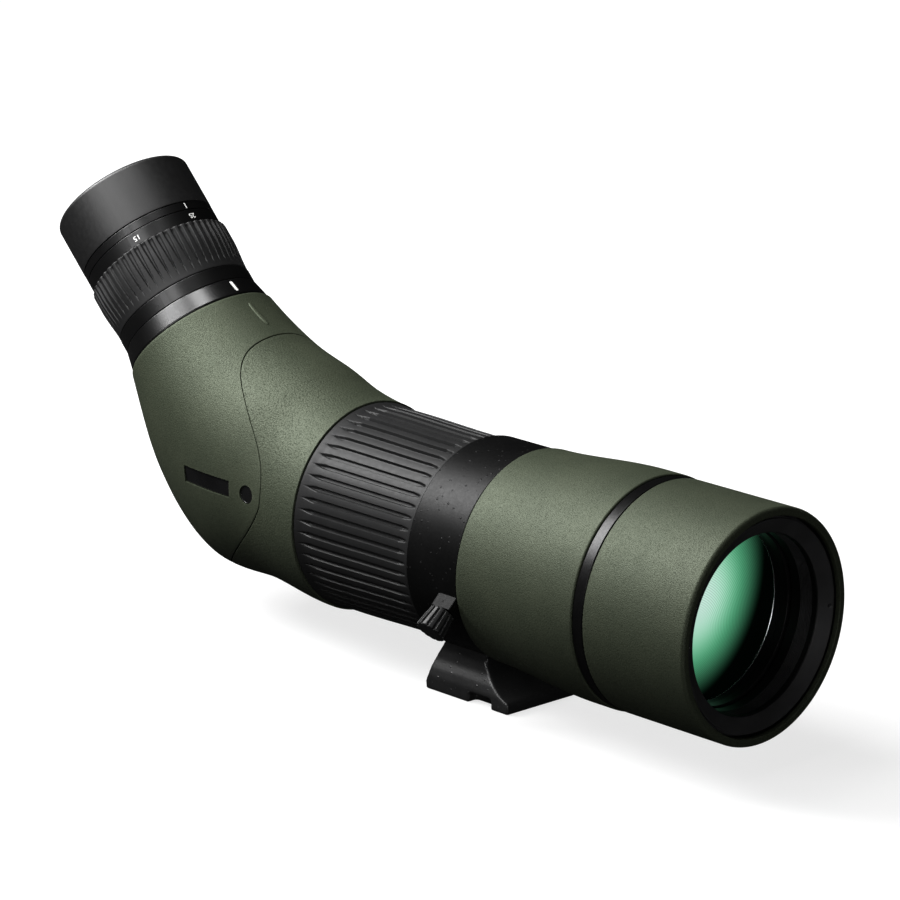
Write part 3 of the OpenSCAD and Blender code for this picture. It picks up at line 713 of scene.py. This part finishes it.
def lens_rings():
    outline = [(32.56, 103.9, 0.15), (36.44, 103.9, 0.1), (36.44, 108.8, 0.1),
               (34.4, 108.8, 0.12), (34.2, 107.6, 0.1), (32.56, 107.6, 0.15)]
    piece(lathe("retainer_ring", outline, sides=256),
          "optic_body", "inside", "lens_retainer")
    outline = [(32.6, 101.25, 0.12), (33.5, 101.25, 0.1), (33.5, 103.8, 0.1),
               (32.75, 103.8, 0.2)]
    piece(lathe("lens_edge_ring", outline, sides=256),
          "optic_body", "inside", "lens_spacer")
    outline = [(32.45, 100.98, 0.05), (33.4, 100.98, 0.05), (33.4, 101.2, 0.05),
               (32.65, 101.2, 0.08)]
    piece(lathe("lens_edge_bevel", outline, sides=256),
          "optic_body", "aluminium")


def front_lens():
    """Biconvex lens: a centre vertex, rings out over the front and in over the back."""
    def sag(curve, height):
        return curve - np.sqrt(curve * curve - height * height)

    n = 256
    heights = np.linspace(0, LENS_RADIUS, 48)
    front = LENS_FRONT_X - sag(LENS_FRONT_CURVE, heights)
    back = LENS_BACK_X + sag(LENS_BACK_CURVE, heights)
    radius = np.concatenate([heights[1:], heights[:0:-1]])
    x = np.concatenate([front[1:], back[:0:-1]])
    verts = np.concatenate([
        polar(TUBE, 0.0, 0.0, front[0]),
        polar(TUBE, radius[:, None], circle(n), x[:, None]),
        polar(TUBE, 0.0, 0.0, back[0])])
    around = [(j, (j + 1) % n) for j in range(n)]
    last = 1 + len(radius) * n
    faces = [(0, 1 + j, 1 + k) for j, k in around]
    for a in range(1, last - n, n):
        faces += [(a + j, a + n + j, a + n + k, a + k) for j, k in around]
    faces += [(last - n + j, last, last - n + k) for j, k in around]
    piece(solid("front_lens_glass", verts, faces, sharp=35),
          "optic_body", "lens", "front_lens")


# ------------------------------------------------------------------ prism housing
# The centre line is a quadratic curve in x and height above the main axis; t runs along it.
LINE_START = np.array([HOUSING_FRONT_X, 0.0])
LINE_BEND = np.array([ELBOW_X, 0.0])
LINE_END = np.array([ELBOW_X - NECK_LENGTH * DIAGONAL, NECK_LENGTH * DIAGONAL])
AROUND = circle(288)


def spline(knots, t):
    """Catmull-Rom curve through evenly spaced values, t from 0 to 1."""
    knots = np.array(knots, float)
    spans = len(knots) - 1
    u = np.clip(t * spans, 0, spans - 1e-6)
    i = u.astype(int)
    f = u - i
    padded = np.concatenate([[2 * knots[0] - knots[1]], knots, [2 * knots[-1] - knots[-2]]])
    a, b, c, d = padded[i], padded[i + 1], padded[i + 2], padded[i + 3]
    return 0.5 * (2 * b + (c - a) * f + (2 * a - 5 * b + 4 * c - d) * f ** 2
                  + (3 * b - a - 3 * c + d) * f ** 3)


def skin(t, angle, depth):
    """Points at a depth below the housing's skin; angle 0 is the top, 90 degrees is +Y."""
    t, angle, depth = np.broadcast_arrays(
        np.asarray(t, float), np.asarray(angle, float), np.asarray(depth, float))
    s = t[..., None]
    point = (1 - s) ** 2 * LINE_START + 2 * s * (1 - s) * LINE_BEND + s ** 2 * LINE_END
    along = 2 * (1 - s) * (LINE_BEND - LINE_START) + 2 * s * (LINE_END - LINE_BEND)
    along = along / np.linalg.norm(along, axis=-1, keepdims=True)
    cosine = np.cos(angle)
    half = np.where(cosine >= 0, spline(HALF_ABOVE, t), spline(HALF_BELOW, t))
    height = (half - depth) * cosine
    y = (spline(HALF_WIDTH, t) - depth) * np.sin(angle)
    return np.stack([point[..., 0] + along[..., 1] * height, y,
                     AXIS_Z + point[..., 1] - along[..., 0] * height], -1)


def seam(angle):
    """Where, in t, the joint between the armour halves lies: forward on top, then rearward."""
    degrees = np.degrees(np.arccos(np.cos(angle)))
    step = 0.205 + 0.57 / (1 + np.exp((degrees - 53) / 9))
    under = np.clip(np.sin(np.radians(degrees - 90)), 0, 1) ** 1.3
    return step + np.where(degrees > 90, 0.255 * under, 0)


def shell(name, start, end, end_round, rows):
    """Closed shell over the housing between the joint lines start and end, given in t."""
    start_round, edge_count, inner_rows = 0.35, 6, 14
    first, last = edge_steps(start_round, edge_count), edge_steps(end_round, edge_count)[::-1]
    low, high = start + start_round / HOUSING_LENGTH, end - end_round / HOUSING_LENGTH
    fractions = np.arange(1, rows) / rows
    t = np.concatenate([start + first[:, None] / HOUSING_LENGTH,
                        low + (high - low) * fractions[:, None],
                        end - last[:, None] / HOUSING_LENGTH])
    depth = np.concatenate([edge_drop(first, start_round), np.zeros(rows - 1),
                            edge_drop(last, end_round)])
    outer = skin(t, AROUND, depth[:, None]).reshape(-1, 3)
    inner_t = start + (end - start) * np.linspace(0, 1, inner_rows)[:, None]
    inner = skin(inner_t, AROUND, SHELL_THICKNESS).reshape(-1, 3)
    faces = sleeve_faces(len(t), inner_rows, len(AROUND))
    return solid(name, np.concatenate([outer, inner]), faces, sharp=55)


def fit_side():
    """Cubic fit of the armour's -Y side around the plate: y from x and rise above the axis."""
    t, angle = np.meshgrid(np.linspace(0.15, 0.8, 160), np.linspace(-2.2, -0.9, 120))
    points = skin(t, angle, 0).reshape(-1, 3)
    x, rise = points[:, 0] - PLATE_X, points[:, 2] - AXIS_Z - PLATE_RISE
    near = (np.abs(x) < 17) & (np.abs(rise) < 6)

    def terms(u, w):
        return np.stack([np.ones_like(u), u, w, u * u, u * w, w * w,
                         u ** 3, u * u * w, u * w * w], -1)

    weights = np.linalg.lstsq(terms(x[near] / 10, rise[near] / 10), points[near, 1],
                              rcond=None)[0]
    return lambda x, rise: terms((x - PLATE_X) / 10, (rise - PLATE_RISE) / 10) @ weights


def side_patch(name, width, height, front, back, edge, side_y):
    """Slab that follows the housing's side; front and back are depths below the surface."""
    xs = dense_ends(PLATE_X - width / 2, PLATE_X + width / 2, edge, 40, 4)
    rises = dense_ends(PLATE_RISE - height / 2, PLATE_RISE + height / 2, edge, 12, 4)
    x, rise = np.meshgrid(xs, rises)
    y = side_y(x, rise)
    inset = np.minimum(np.minimum(x - xs[0], xs[-1] - x),
                       np.minimum(rise - rises[0], rises[-1] - rise))
    z = rise + AXIS_Z
    outer = np.stack([x, y + front + edge_drop(inset, edge), z], -1).reshape(-1, 3)
    inner = np.stack([x, y + back, z], -1).reshape(-1, 3)
    rows, columns = x.shape
    n = rows * columns
    faces = []
    for i in range(rows - 1):
        for j in range(columns - 1):
            a = i * columns + j
            b = a + columns
            faces += [(a, a + 1, b + 1, b), (n + b, n + b + 1, n + a + 1, n + a)]
    rim = list(range(columns))
    rim += [i * columns + columns - 1 for i in range(1, rows)]
    rim += [(rows - 1) * columns + j for j in range(columns - 2, -1, -1)]
    rim += [i * columns for i in range(rows - 2, 0, -1)]
    faces += [(a, n + a, n + b, b) for a, b in zip(rim, rim[1:] + rim[:1])]
    return solid(name, np.concatenate([outer, inner]), faces, sharp=40)


def housing_armour():
    """The two armour halves, and a blank plate and a blank badge sunk in the rear one."""
    joint = seam(AROUND)
    front = shell("housing_armour_front", np.zeros_like(AROUND), joint - SEAM_HALF_GAP,
                  end_round=0.3, rows=60)
    piece(front, "optic_body", "armour_coarse", "housing_armor_front")
    rear = shell("housing_armour_rear", joint + SEAM_HALF_GAP, np.ones_like(AROUND),
                 end_round=0.7, rows=72)
    side_y = fit_side()
    boolean(rear, side_patch("pocket", width=27.6, height=6.7, front=-2.0, back=0.95,
                             edge=0.02, side_y=side_y))
    boolean(rear, cylinder(sides=96, radius=3.6, depth=4,
                           centre=(BADGE_X, -38.9, AXIS_Z + BADGE_RISE),
                           rotation=(math.pi / 2, 0, 0)))
    shade_smooth(rear, sharp=35)
    piece(rear, "optic_body", "armour", "housing_armor_rear")
    plate = side_patch("blank_name_plate", width=27.3, height=6.4, front=0.5, back=1.3,
                       edge=0.18, side_y=side_y)
    piece(plate, "optic_body", "plate", "name_plate")
    outline = [(0.02, -0.55, 0.005), (3.48, -0.55, 0.1), (3.48, 0.08, 0.1),
               (3.15, 0.08, 0.06), (3.05, -0.05, 0.08), (0.02, -0.05, 0.005)]
    piece(lathe("blank_badge", outline, BADGE, sides=96),
          "optic_body", "plate", "side_badge")


def sight_rib():
    """Low rounded rib along the top of the neck."""
    stations, columns, sunk = 40, 13, 0.5
    along = np.abs(np.linspace(-1, 1, stations))
    half_widths = 1.15 * np.sqrt(1 - along ** 3.0) + 0.02
    heights = 0.5 * np.sqrt(1 - along ** 4.0)
    across = np.linspace(-1, 1, columns)
    verts = []
    for t, half_width, height in zip(np.linspace(0.835, 0.955, stations), half_widths, heights):
        angle = half_width * across / spline(HALF_ABOVE, t)
        verts += [skin(t, angle, -height * np.sqrt(1 - across * across)),
                  skin(t, angle[::-1], sunk)]
    n = 2 * columns
    faces = []
    for i in range(stations - 1):
        faces += band(i * n, (i + 1) * n, n)
    faces.append(tuple(range(n)))
    faces.append(tuple(range((stations - 1) * n, stations * n))[::-1])
    piece(solid("sight_rib", np.concatenate(verts), faces, sharp=60),
          "optic_body", "armour")


# ------------------------------------------------------------------ fluted grips
def groove_distance(angle, count):
    """0 in the middle of a groove, 1 in the middle of a land."""
    return np.abs(angle * count / (2 * math.pi) % 1.0 - 0.5) * 2


def focus_ring():
    end_round = 0.7

    def radius(angle, z):
        base = (39.35 - 0.75 * smoothstep(-60, -20, z)
                + 0.65 * (1 - smoothstep(-72.4, -67.5, z)))
        d = groove_distance(angle, FOCUS_FLUTES)
        width = 0.44 * smoothstep(-71.2, -63.0, z)
        width = width * (1 - 0.5 * smoothstep(-19.5, -14.8, z)) + 1e-3
        depth = 1.10 * smoothstep(-71.0, -66.0, z) * (1 - smoothstep(-16.4, -14.8, z))
        groove = depth * smoothstep(0, 1, (1 - d / width) * 2.0)
        crown = (0.10 * (1 - d) ** 2 * smoothstep(-70, -66, z)
                 * (1 - smoothstep(-17, -14.8, z)))
        return base - end_drop(z, FOCUS_START, FOCUS_END, end_round) - groove - crown

    stations = dense_ends(FOCUS_START, FOCUS_END, end_round, 76, 6)
    grip = sleeve("focus_grip_rubber", radius, stations, bore=37.2, axes=TUBE,
                  sides=FOCUS_FLUTES * 18)
    piece(grip, "focus_ring", "grip", "focus_grip")
    outline = [(37.25, -14.6, 0.1), (38.75, -14.6, 0.3), (38.75, -13.15, 0.35),
               (37.25, -13.15, 0.1)]
    piece(lathe("focus_front_lip", outline), "focus_ring", "grip")


def zoom_grip():
    end_round = 0.5

    def radius(angle, z):
        base = 28.35 + 1.05 * smoothstep(ZOOM_START, 96.0, z)
        d = groove_distance(angle, ZOOM_FLUTES)
        width = 0.66 * np.clip((z - 82.6) / 17.5, 0, 1) ** 0.8 + 0.04
        depth = 0.92 * smoothstep(82.4, 89.0, z) * (1 - 0.45 * smoothstep(100.8, 102.2, z))
        groove = depth * smoothstep(0, 1, (1 - d / width) * 1.5)
        return base - end_drop(z, ZOOM_START, ZOOM_END, end_round) - groove

    stations = dense_ends(ZOOM_START, ZOOM_END, end_round, 56, 5)
    grip = sleeve("zoom_grip_rubber", radius, stations, bore=27.02, axes=EYE,
                  sides=ZOOM_FLUTES * 24)
    piece(grip, "zoom_ring", "zoom_grip", "zoom_grip")


def lock_knob():
    """Tapered knob with broad lands and narrow scooped flutes, closed by a cap."""
    end_round = 0.55

    def radius(angle, z):
        base = 4.75 + (5.85 - 4.75) * smoothstep(-1.0, 9.5, z)
        scoop = np.clip(1 - (groove_distance(angle, KNOB_FLUTES) / 0.42) ** 2, 0, 1)
        ends = smoothstep(0.0, 0.9, z) * (1 - smoothstep(8.3, KNOB_LENGTH, z) * 0.5)
        return base - end_drop(z, 0.0, KNOB_LENGTH, end_round) - 0.75 * np.sqrt(scoop) * ends

    stations = dense_ends(0.0, KNOB_LENGTH, end_round, 22, 5)
    head = sleeve("lock_knob_head", radius, stations, bore=1.92, axes=KNOB,
                  sides=KNOB_FLUTES * 24)
    piece(head, "lock_knob", "knob", "lock_knob")
    outline = [(0.02, 7.4, 0.005), (4.6, 7.4, 0.1), (4.95, 8.6, 0.3), (4.6, 9.15, 0.5),
               (0.02, 9.35, 0.005)]
    piece(lathe("lock_knob_cap", outline, KNOB, sides=96),
          "lock_knob", "knob")


# ------------------------------------------------------------------ eyepiece
def eyepiece_rings():
    # name: body, CAD node it replaces, outline along the eyepiece axis
    rings = {
        "lock_ring": ("eyepiece_lock", "eyepiece_lock_ring", [
            (27.0, 66.5, 0.1), (30.1, 66.5, 0.35), (*LOCK_WIDE, 0.5), (*LOCK_NARROW, 0.35),
            (28.5, 74.62, 0.15), (27.0, 74.62, 0.1)]),
        "base_band": ("optic_body", "eyepiece_base", [
            (20.02, 58, 0.1), (24.05, 58, 0.2), (24.05, 66.3, 0.05), (26.9, 66.3, 0.1),
            (26.9, 74.8, 0.05), (28.5, 74.8, 0.22), (28.5, 80.85, 0.22), (22.2, 80.85, 0.1),
            (22.2, 77.6, 0.05), (20.02, 77.6, 0.1)]),
        "scale_band": ("zoom_ring", "zoom_core", [
            (22.2, ZOOM_START, 0.1), (27.0, ZOOM_START, 0.1), (27.0, 102.5, 0.05),
            (BAND_RADIUS, 102.5, 0.18), (BAND_RADIUS, 108.05, 0.22), (22.2, 108.05, 0.1)]),
        "index_band": ("optic_body", "index_ring", [
            (20.02, 108.25, 0.1), (BAND_RADIUS, 108.25, 0.22), (BAND_RADIUS, 111.7, 0.22),
            (20.02, 111.7, 0.1)]),
    }
    for name, (body, replaces, outline) in rings.items():
        piece(lathe(name, outline, EYE), body, "eyepiece", replaces)


def eyecup():
    """Soft rubber with a rolled rim, over a plastic core."""
    outline = [(26.6, 112.0, 0.1), (28.3, 112.0, 0.3), (28.38, 113.5, 0.0),
               (28.4, 134.45, 2.8), (24.6, 134.45, 1.7), (22.75, 132.8, 0.8),
               (22.75, 130.6, 0.1), (26.55, 130.6, 0.1)]
    piece(lathe("eyecup_sleeve", outline, EYE, steps=10),
          "eyecup", "cup", "eyecup_rubber")
    outline = [(22.72, 111.98, 0.15), (26.55, 111.98, 0.1), (26.55, 130.5, 0.1),
               (22.72, 130.5, 0.1)]
    piece(lathe("eyecup_body", outline, EYE, sides=192),
          "eyecup", "plastic", "eyecup_core")


# ------------------------------------------------------------------ markings
def painted_bar(name, body, radius, start, end, width):
    """Thin round-ended bar along the eyepiece axis, on a surface of radius(station)."""
    raised, sunk = 0.05, 0.15
    centre, reach = (start + end) / 2, (end - start) / 2 - width / 2
    sideways, station = [], []
    for side in (1, -1):
        for i in range(33):
            angle = math.pi * i / 32 + (0 if side > 0 else math.pi)
            sideways.append(width / 2 * math.cos(angle))
            station.append(centre + side * reach + width / 2 * math.sin(angle))
    station = np.array(station)
    surface = radius(station)
    angle = np.array(sideways) / surface
    verts = [polar(EYE, surface + lift, angle, station) for lift in (raised, -sunk)]
    piece(solid(name, np.concatenate(verts), prism_faces(len(station))), body, "white")


def lock_radius(station):
    """Radius of the lock ring's taper."""
    (wide, start), (narrow, end) = LOCK_WIDE, LOCK_NARROW
    return wide - (station - start) * (wide - narrow) / (end - start)


def scale_number(text, degrees):
    """Number wrapped around the scale band; degrees run from its front side towards -Y."""
    curve = bpy.data.curves.new("n" + text, "FONT")
    curve.body = text
    curve.size = 3.0
    curve.align_x = "CENTER"
    curve.align_y = "CENTER"
    curve.extrude = 0.03
    curve.resolution_u = 4
    curve.offset = 0.05
    ob = bpy.data.objects.new("n" + text, curve)
    bpy.context.scene.collection.objects.link(ob)
    bpy.context.view_layer.update()
    depsgraph = bpy.context.evaluated_depsgraph_get()
    mesh = bpy.data.meshes.new_from_object(ob.evaluated_get(depsgraph))
    bpy.data.objects.remove(ob)
    bm = bmesh.new()
    bm.from_mesh(mesh)
    bmesh.ops.remove_doubles(bm, verts=bm.verts, dist=1e-4)
    bmesh.ops.triangulate(bm, faces=bm.faces)
    flat = np.array([v.co for v in bm.verts])
    faces = [[v.index for v in face.verts] for face in bm.faces]
    bm.free()
    angle = math.radians(degrees) + flat[:, 0] / BAND_RADIUS
    verts = polar(EYE, BAND_RADIUS + 0.01 + flat[:, 2], -angle, 105.25 - flat[:, 1])
    piece(solid("scale_" + text, verts, faces), "zoom_ring", "white")


def markings():
    painted_bar("lock_index_mark", "eyepiece_lock", lock_radius,
                start=68.3, end=73.4, width=1.35)
    painted_bar("zoom_index_mark", "optic_body", lambda s: np.full_like(s, BAND_RADIUS),
                start=108.75, end=111.25, width=0.5)
    for text, degrees in (("15", 50), ("25", -1), ("35", -42), ("45", -74)):
        scale_number(text, degrees)


# ------------------------------------------------------------------ tripod collar
def cut_collar_bore(ob):
    """End a part inside the collar's wall."""
    outline = [(r, x, 0.005) for r, x in ((0.02, -40), (38.6, -40), (38.6, 40), (0.02, 40))]
    boolean(ob, lathe("bore_cut", outline, sides=128, steps=1))


def soften(ob, voxel, iterations):
    """Melt a part's edges like a casting's."""
    modifier = ob.modifiers.new("remesh", "REMESH")
    modifier.mode = "VOXEL"
    modifier.voxel_size = voxel * MM * 1.0
    modifier = ob.modifiers.new("smooth", "SMOOTH")
    modifier.factor = 0.5
    modifier.iterations = iterations
    apply_modifiers(ob)
    shade_smooth(ob)


def foot_side_outline():
    """(x, z) outline of the foot seen from the side."""
    outline = [(-21.2, 0), (-21.5, 3), (-20.3, 6)]
    for i in range(1, 9):
        a = i * math.pi / 16
        outline.append((-20.3 + 9 * (1 - math.cos(a) ** 1.25),
                        22 - 16 * (1 - math.sin(a) ** 1.25)))
    outline += [(-10.6, 27), (7.6, 27), (6.6, 22), (6.2, 16)]
    for i in range(1, 8):
        a = i * math.pi / 16
        outline.append((20.6 - 14.4 * math.cos(a) ** 1.6, 16 - 11.5 * math.sin(a) ** 1.6))
    return outline + [(20.6, 4.5), (21.1, 3.5), (21.1, 0)]


def foot_front_outline():
    """(y, z) outline of the foot seen from the front."""
    half = 19.5
    outline = [(-half, 0), (half, 0), (half, 5.5), (half - 0.9, 8.5), (half - 2.6, 12),
               (half - 3.6, 16), (half - 3.4, 21), (half - 2.6, 27)]
    return outline + [(-y, z) for y, z in outline[:1:-1]]


def cast_foot():
    """The overlap of two extruded outlines, with two side pockets and a hole from below."""
    side, front = foot_side_outline(), foot_front_outline()
    reach = 30
    foot = solid("cast_foot", [(x, y, z) for y in (-reach, reach) for x, z in side],
                 prism_faces(len(side)))
    across = solid("foot_front", [(x, y, z) for x in (-reach, reach) for y, z in front],
                   prism_faces(len(front)))
    boolean(foot, across, "INTERSECT")
    cut_collar_bore(foot)
    for sign in (-1, 1):
        boolean(foot, rounded_box(centre=(6.75, sign * 18.0, 1), size=(11, 6, 6), bevel=0.4))
    boolean(foot, cylinder(sides=64, radius=5.0, depth=19))
    soften(foot, voxel=0.42, iterations=24)
    # The foot takes the lighter copy of the powder coat, painted light
    piece(foot, "tripod_collar", "foot")


def lock_boss():
    """Block between the collar and the lock knob."""
    corners = np.array([(x, y, z) for z in (-9.0, -0.3)
                        for x, y in ((-4.6, -3.8), (4.6, -3.8), (4.6, 2.9), (-4.6, 2.9))])
    faces = [(0, 3, 2, 1), (4, 5, 6, 7)] + band(0, 4, 4)
    boss = solid("lock_boss", place(KNOB, *corners.T), faces)
    cut_collar_bore(boss)
    soften(boss, voxel=0.3, iterations=5)
    piece(boss, "tripod_collar", "lug")


def tripod_collar():
    outline = [(36.08, -COLLAR_HALF, 0.25), (39.8, -COLLAR_HALF, 0.7),
               (39.8, COLLAR_HALF, 0.7), (36.08, COLLAR_HALF, 0.25)]
    piece(lathe("collar_band", outline),
          "tripod_collar", "powder", "tripod_collar")
    cast_foot()
    lock_boss()


# ------------------------------------------------------------------ stage (metres)
def studio_floor():
    """Floor that curves up into a wall behind the scope, as seen by the camera."""
    near, far, bend, top, half_width = -2.2, 2.6, 0.6, 3.2, 4
    view = unit(np.array([-0.675, 0.688]))
    side = np.array([view[1], -view[0]])
    rows = [(near, 0.0), (far, 0.0)]
    for i in range(1, 25):
        a = i / 24 * math.pi / 2
        rows.append((far + bend * math.sin(a), bend * (1 - math.cos(a))))
    rows.append((far + bend, top))
    verts = [(*(view * distance + side * w), z)
             for distance, z in rows for w in (-half_width, half_width)]
    faces = [(2 * i, 2 * i + 1, 2 * i + 3, 2 * i + 2) for i in range(len(rows) - 1)]
    bpy.ops.mesh.primitive_plane_add(size=1)
    floor = bpy.context.object
    floor.name = "floor"
    floor.data.clear_geometry()
    floor.data.from_pydata(verts, [], faces)
    shade_smooth(floor)

    # Glowing and pale to the camera, nearly black to every other ray
    s = Shader("studio_floor")
    tone = s.mottle(scale=3, detail=2, dark=grey(0.24), light=grey(0.26))
    seen = s.node("ShaderNodeLightPath", out="Is Camera Ray")
    away = s.node("ShaderNodeVectorMath", {0: s.coords}, out="Value", operation="LENGTH")
    glow = s.ramp(away, over=(0.15, 0.75), to=(0.74, 1.0))
    floor.data.materials.append(s.finish(
        Base_Color=s.mix(seen, grey(0.015), tone), Roughness=0.8, Specular_IOR_Level=0.0,
        Emission_Color=(1, 1, 1), Emission_Strength=s.mul(seen, glow)))


def studio_world():
    """Pale behind the scope, with almost no light on it."""
    world = bpy.data.worlds.new("studio")
    bpy.context.scene.world = world
    world.use_nodes = True
    tree = world.node_tree
    background = tree.nodes["Background"]
    background.inputs[0].default_value = (1, 1, 1, 1)
    amount = tree.nodes.new("ShaderNodeMapRange")
    amount.inputs["To Min"].default_value = 0.005
    amount.inputs["To Max"].default_value = 1.0
    path = tree.nodes.new("ShaderNodeLightPath")
    tree.links.new(path.outputs["Is Camera Ray"], amount.inputs["Value"])
    tree.links.new(amount.outputs[0], background.inputs[1])


LIGHT_TARGET = Vector((-0.05, 0, 0.07))
# name, direction from the target, distance, width, height, power in watts
LIGHTS = [
    ("key", (-0.54, -0.40, 0.66), 0.95, 0.42, 0.52, 19),
    ("overhead", (-0.12, -0.16, 0.90), 0.95, 0.30, 0.30, 4.6),
    ("left_soft", (0.14, -0.74, 0.66), 1.0, 0.30, 0.30, 2.2),
    ("side_strip", (-0.08, -0.93, 0.33), 0.95, 0.09, 0.36, 1.5),
    ("far_side", (-0.15, 0.97, 0.14), 1.1, 0.60, 0.36, 11.0),
    ("front_fill", (0.90, -0.45, 0.05), 1.0, 0.34, 0.30, 2.0),
]


def lights():
    for name, direction, distance, width, height, power in LIGHTS:
        light = bpy.data.lights.new(name, "AREA")
        light.energy = power
        light.shape = "RECTANGLE"
        light.size = width
        light.size_y = height
        ob = bpy.data.objects.new(name, light)
        bpy.context.scene.collection.objects.link(ob)
        where = LIGHT_TARGET + Vector(direction).normalized() * distance
        ob.location = where
        ob.rotation_euler = (LIGHT_TARGET - where).to_track_quat("-Z", "Y").to_euler()
        if name == "far_side":
            ob.visible_glossy = False     # fills the side turned away, without glints


def camera():
    right = (0.7078401, 0.70585756, 0.02697208)
    up = (-0.20641695, 0.17017769, 0.96355155)
    back = (0.67554011, -0.68760792, 0.26615956)
    position = Vector((1.058196, -1.108690, 0.515195))
    data = bpy.data.cameras.new("camera")
    data.lens = 174.142
    data.sensor_width = 36
    data.clip_start = 0.05
    data.clip_end = 20
    ob = bpy.data.objects.new("camera", data)
    bpy.context.scene.collection.objects.link(ob)
    rotation = Matrix((right, up, back)).transposed().to_4x4()
    ob.matrix_world = Matrix.Translation(position) @ rotation
    scene = bpy.context.scene
    scene.camera = ob
    scene.view_settings.view_transform = "Standard"
    scene.view_settings.gamma = 0.88


# ------------------------------------------------------------------ build
dress_cad_nodes()
bell_armour()
trim_band()
sunshade()
front_ring()
lens_rings()
front_lens()
housing_armour()
sight_rib()
focus_ring()
eyepiece_rings()
zoom_grip()
eyecup()
markings()
tripod_collar()
lock_knob()
studio_floor()
studio_world()
lights()
camera()
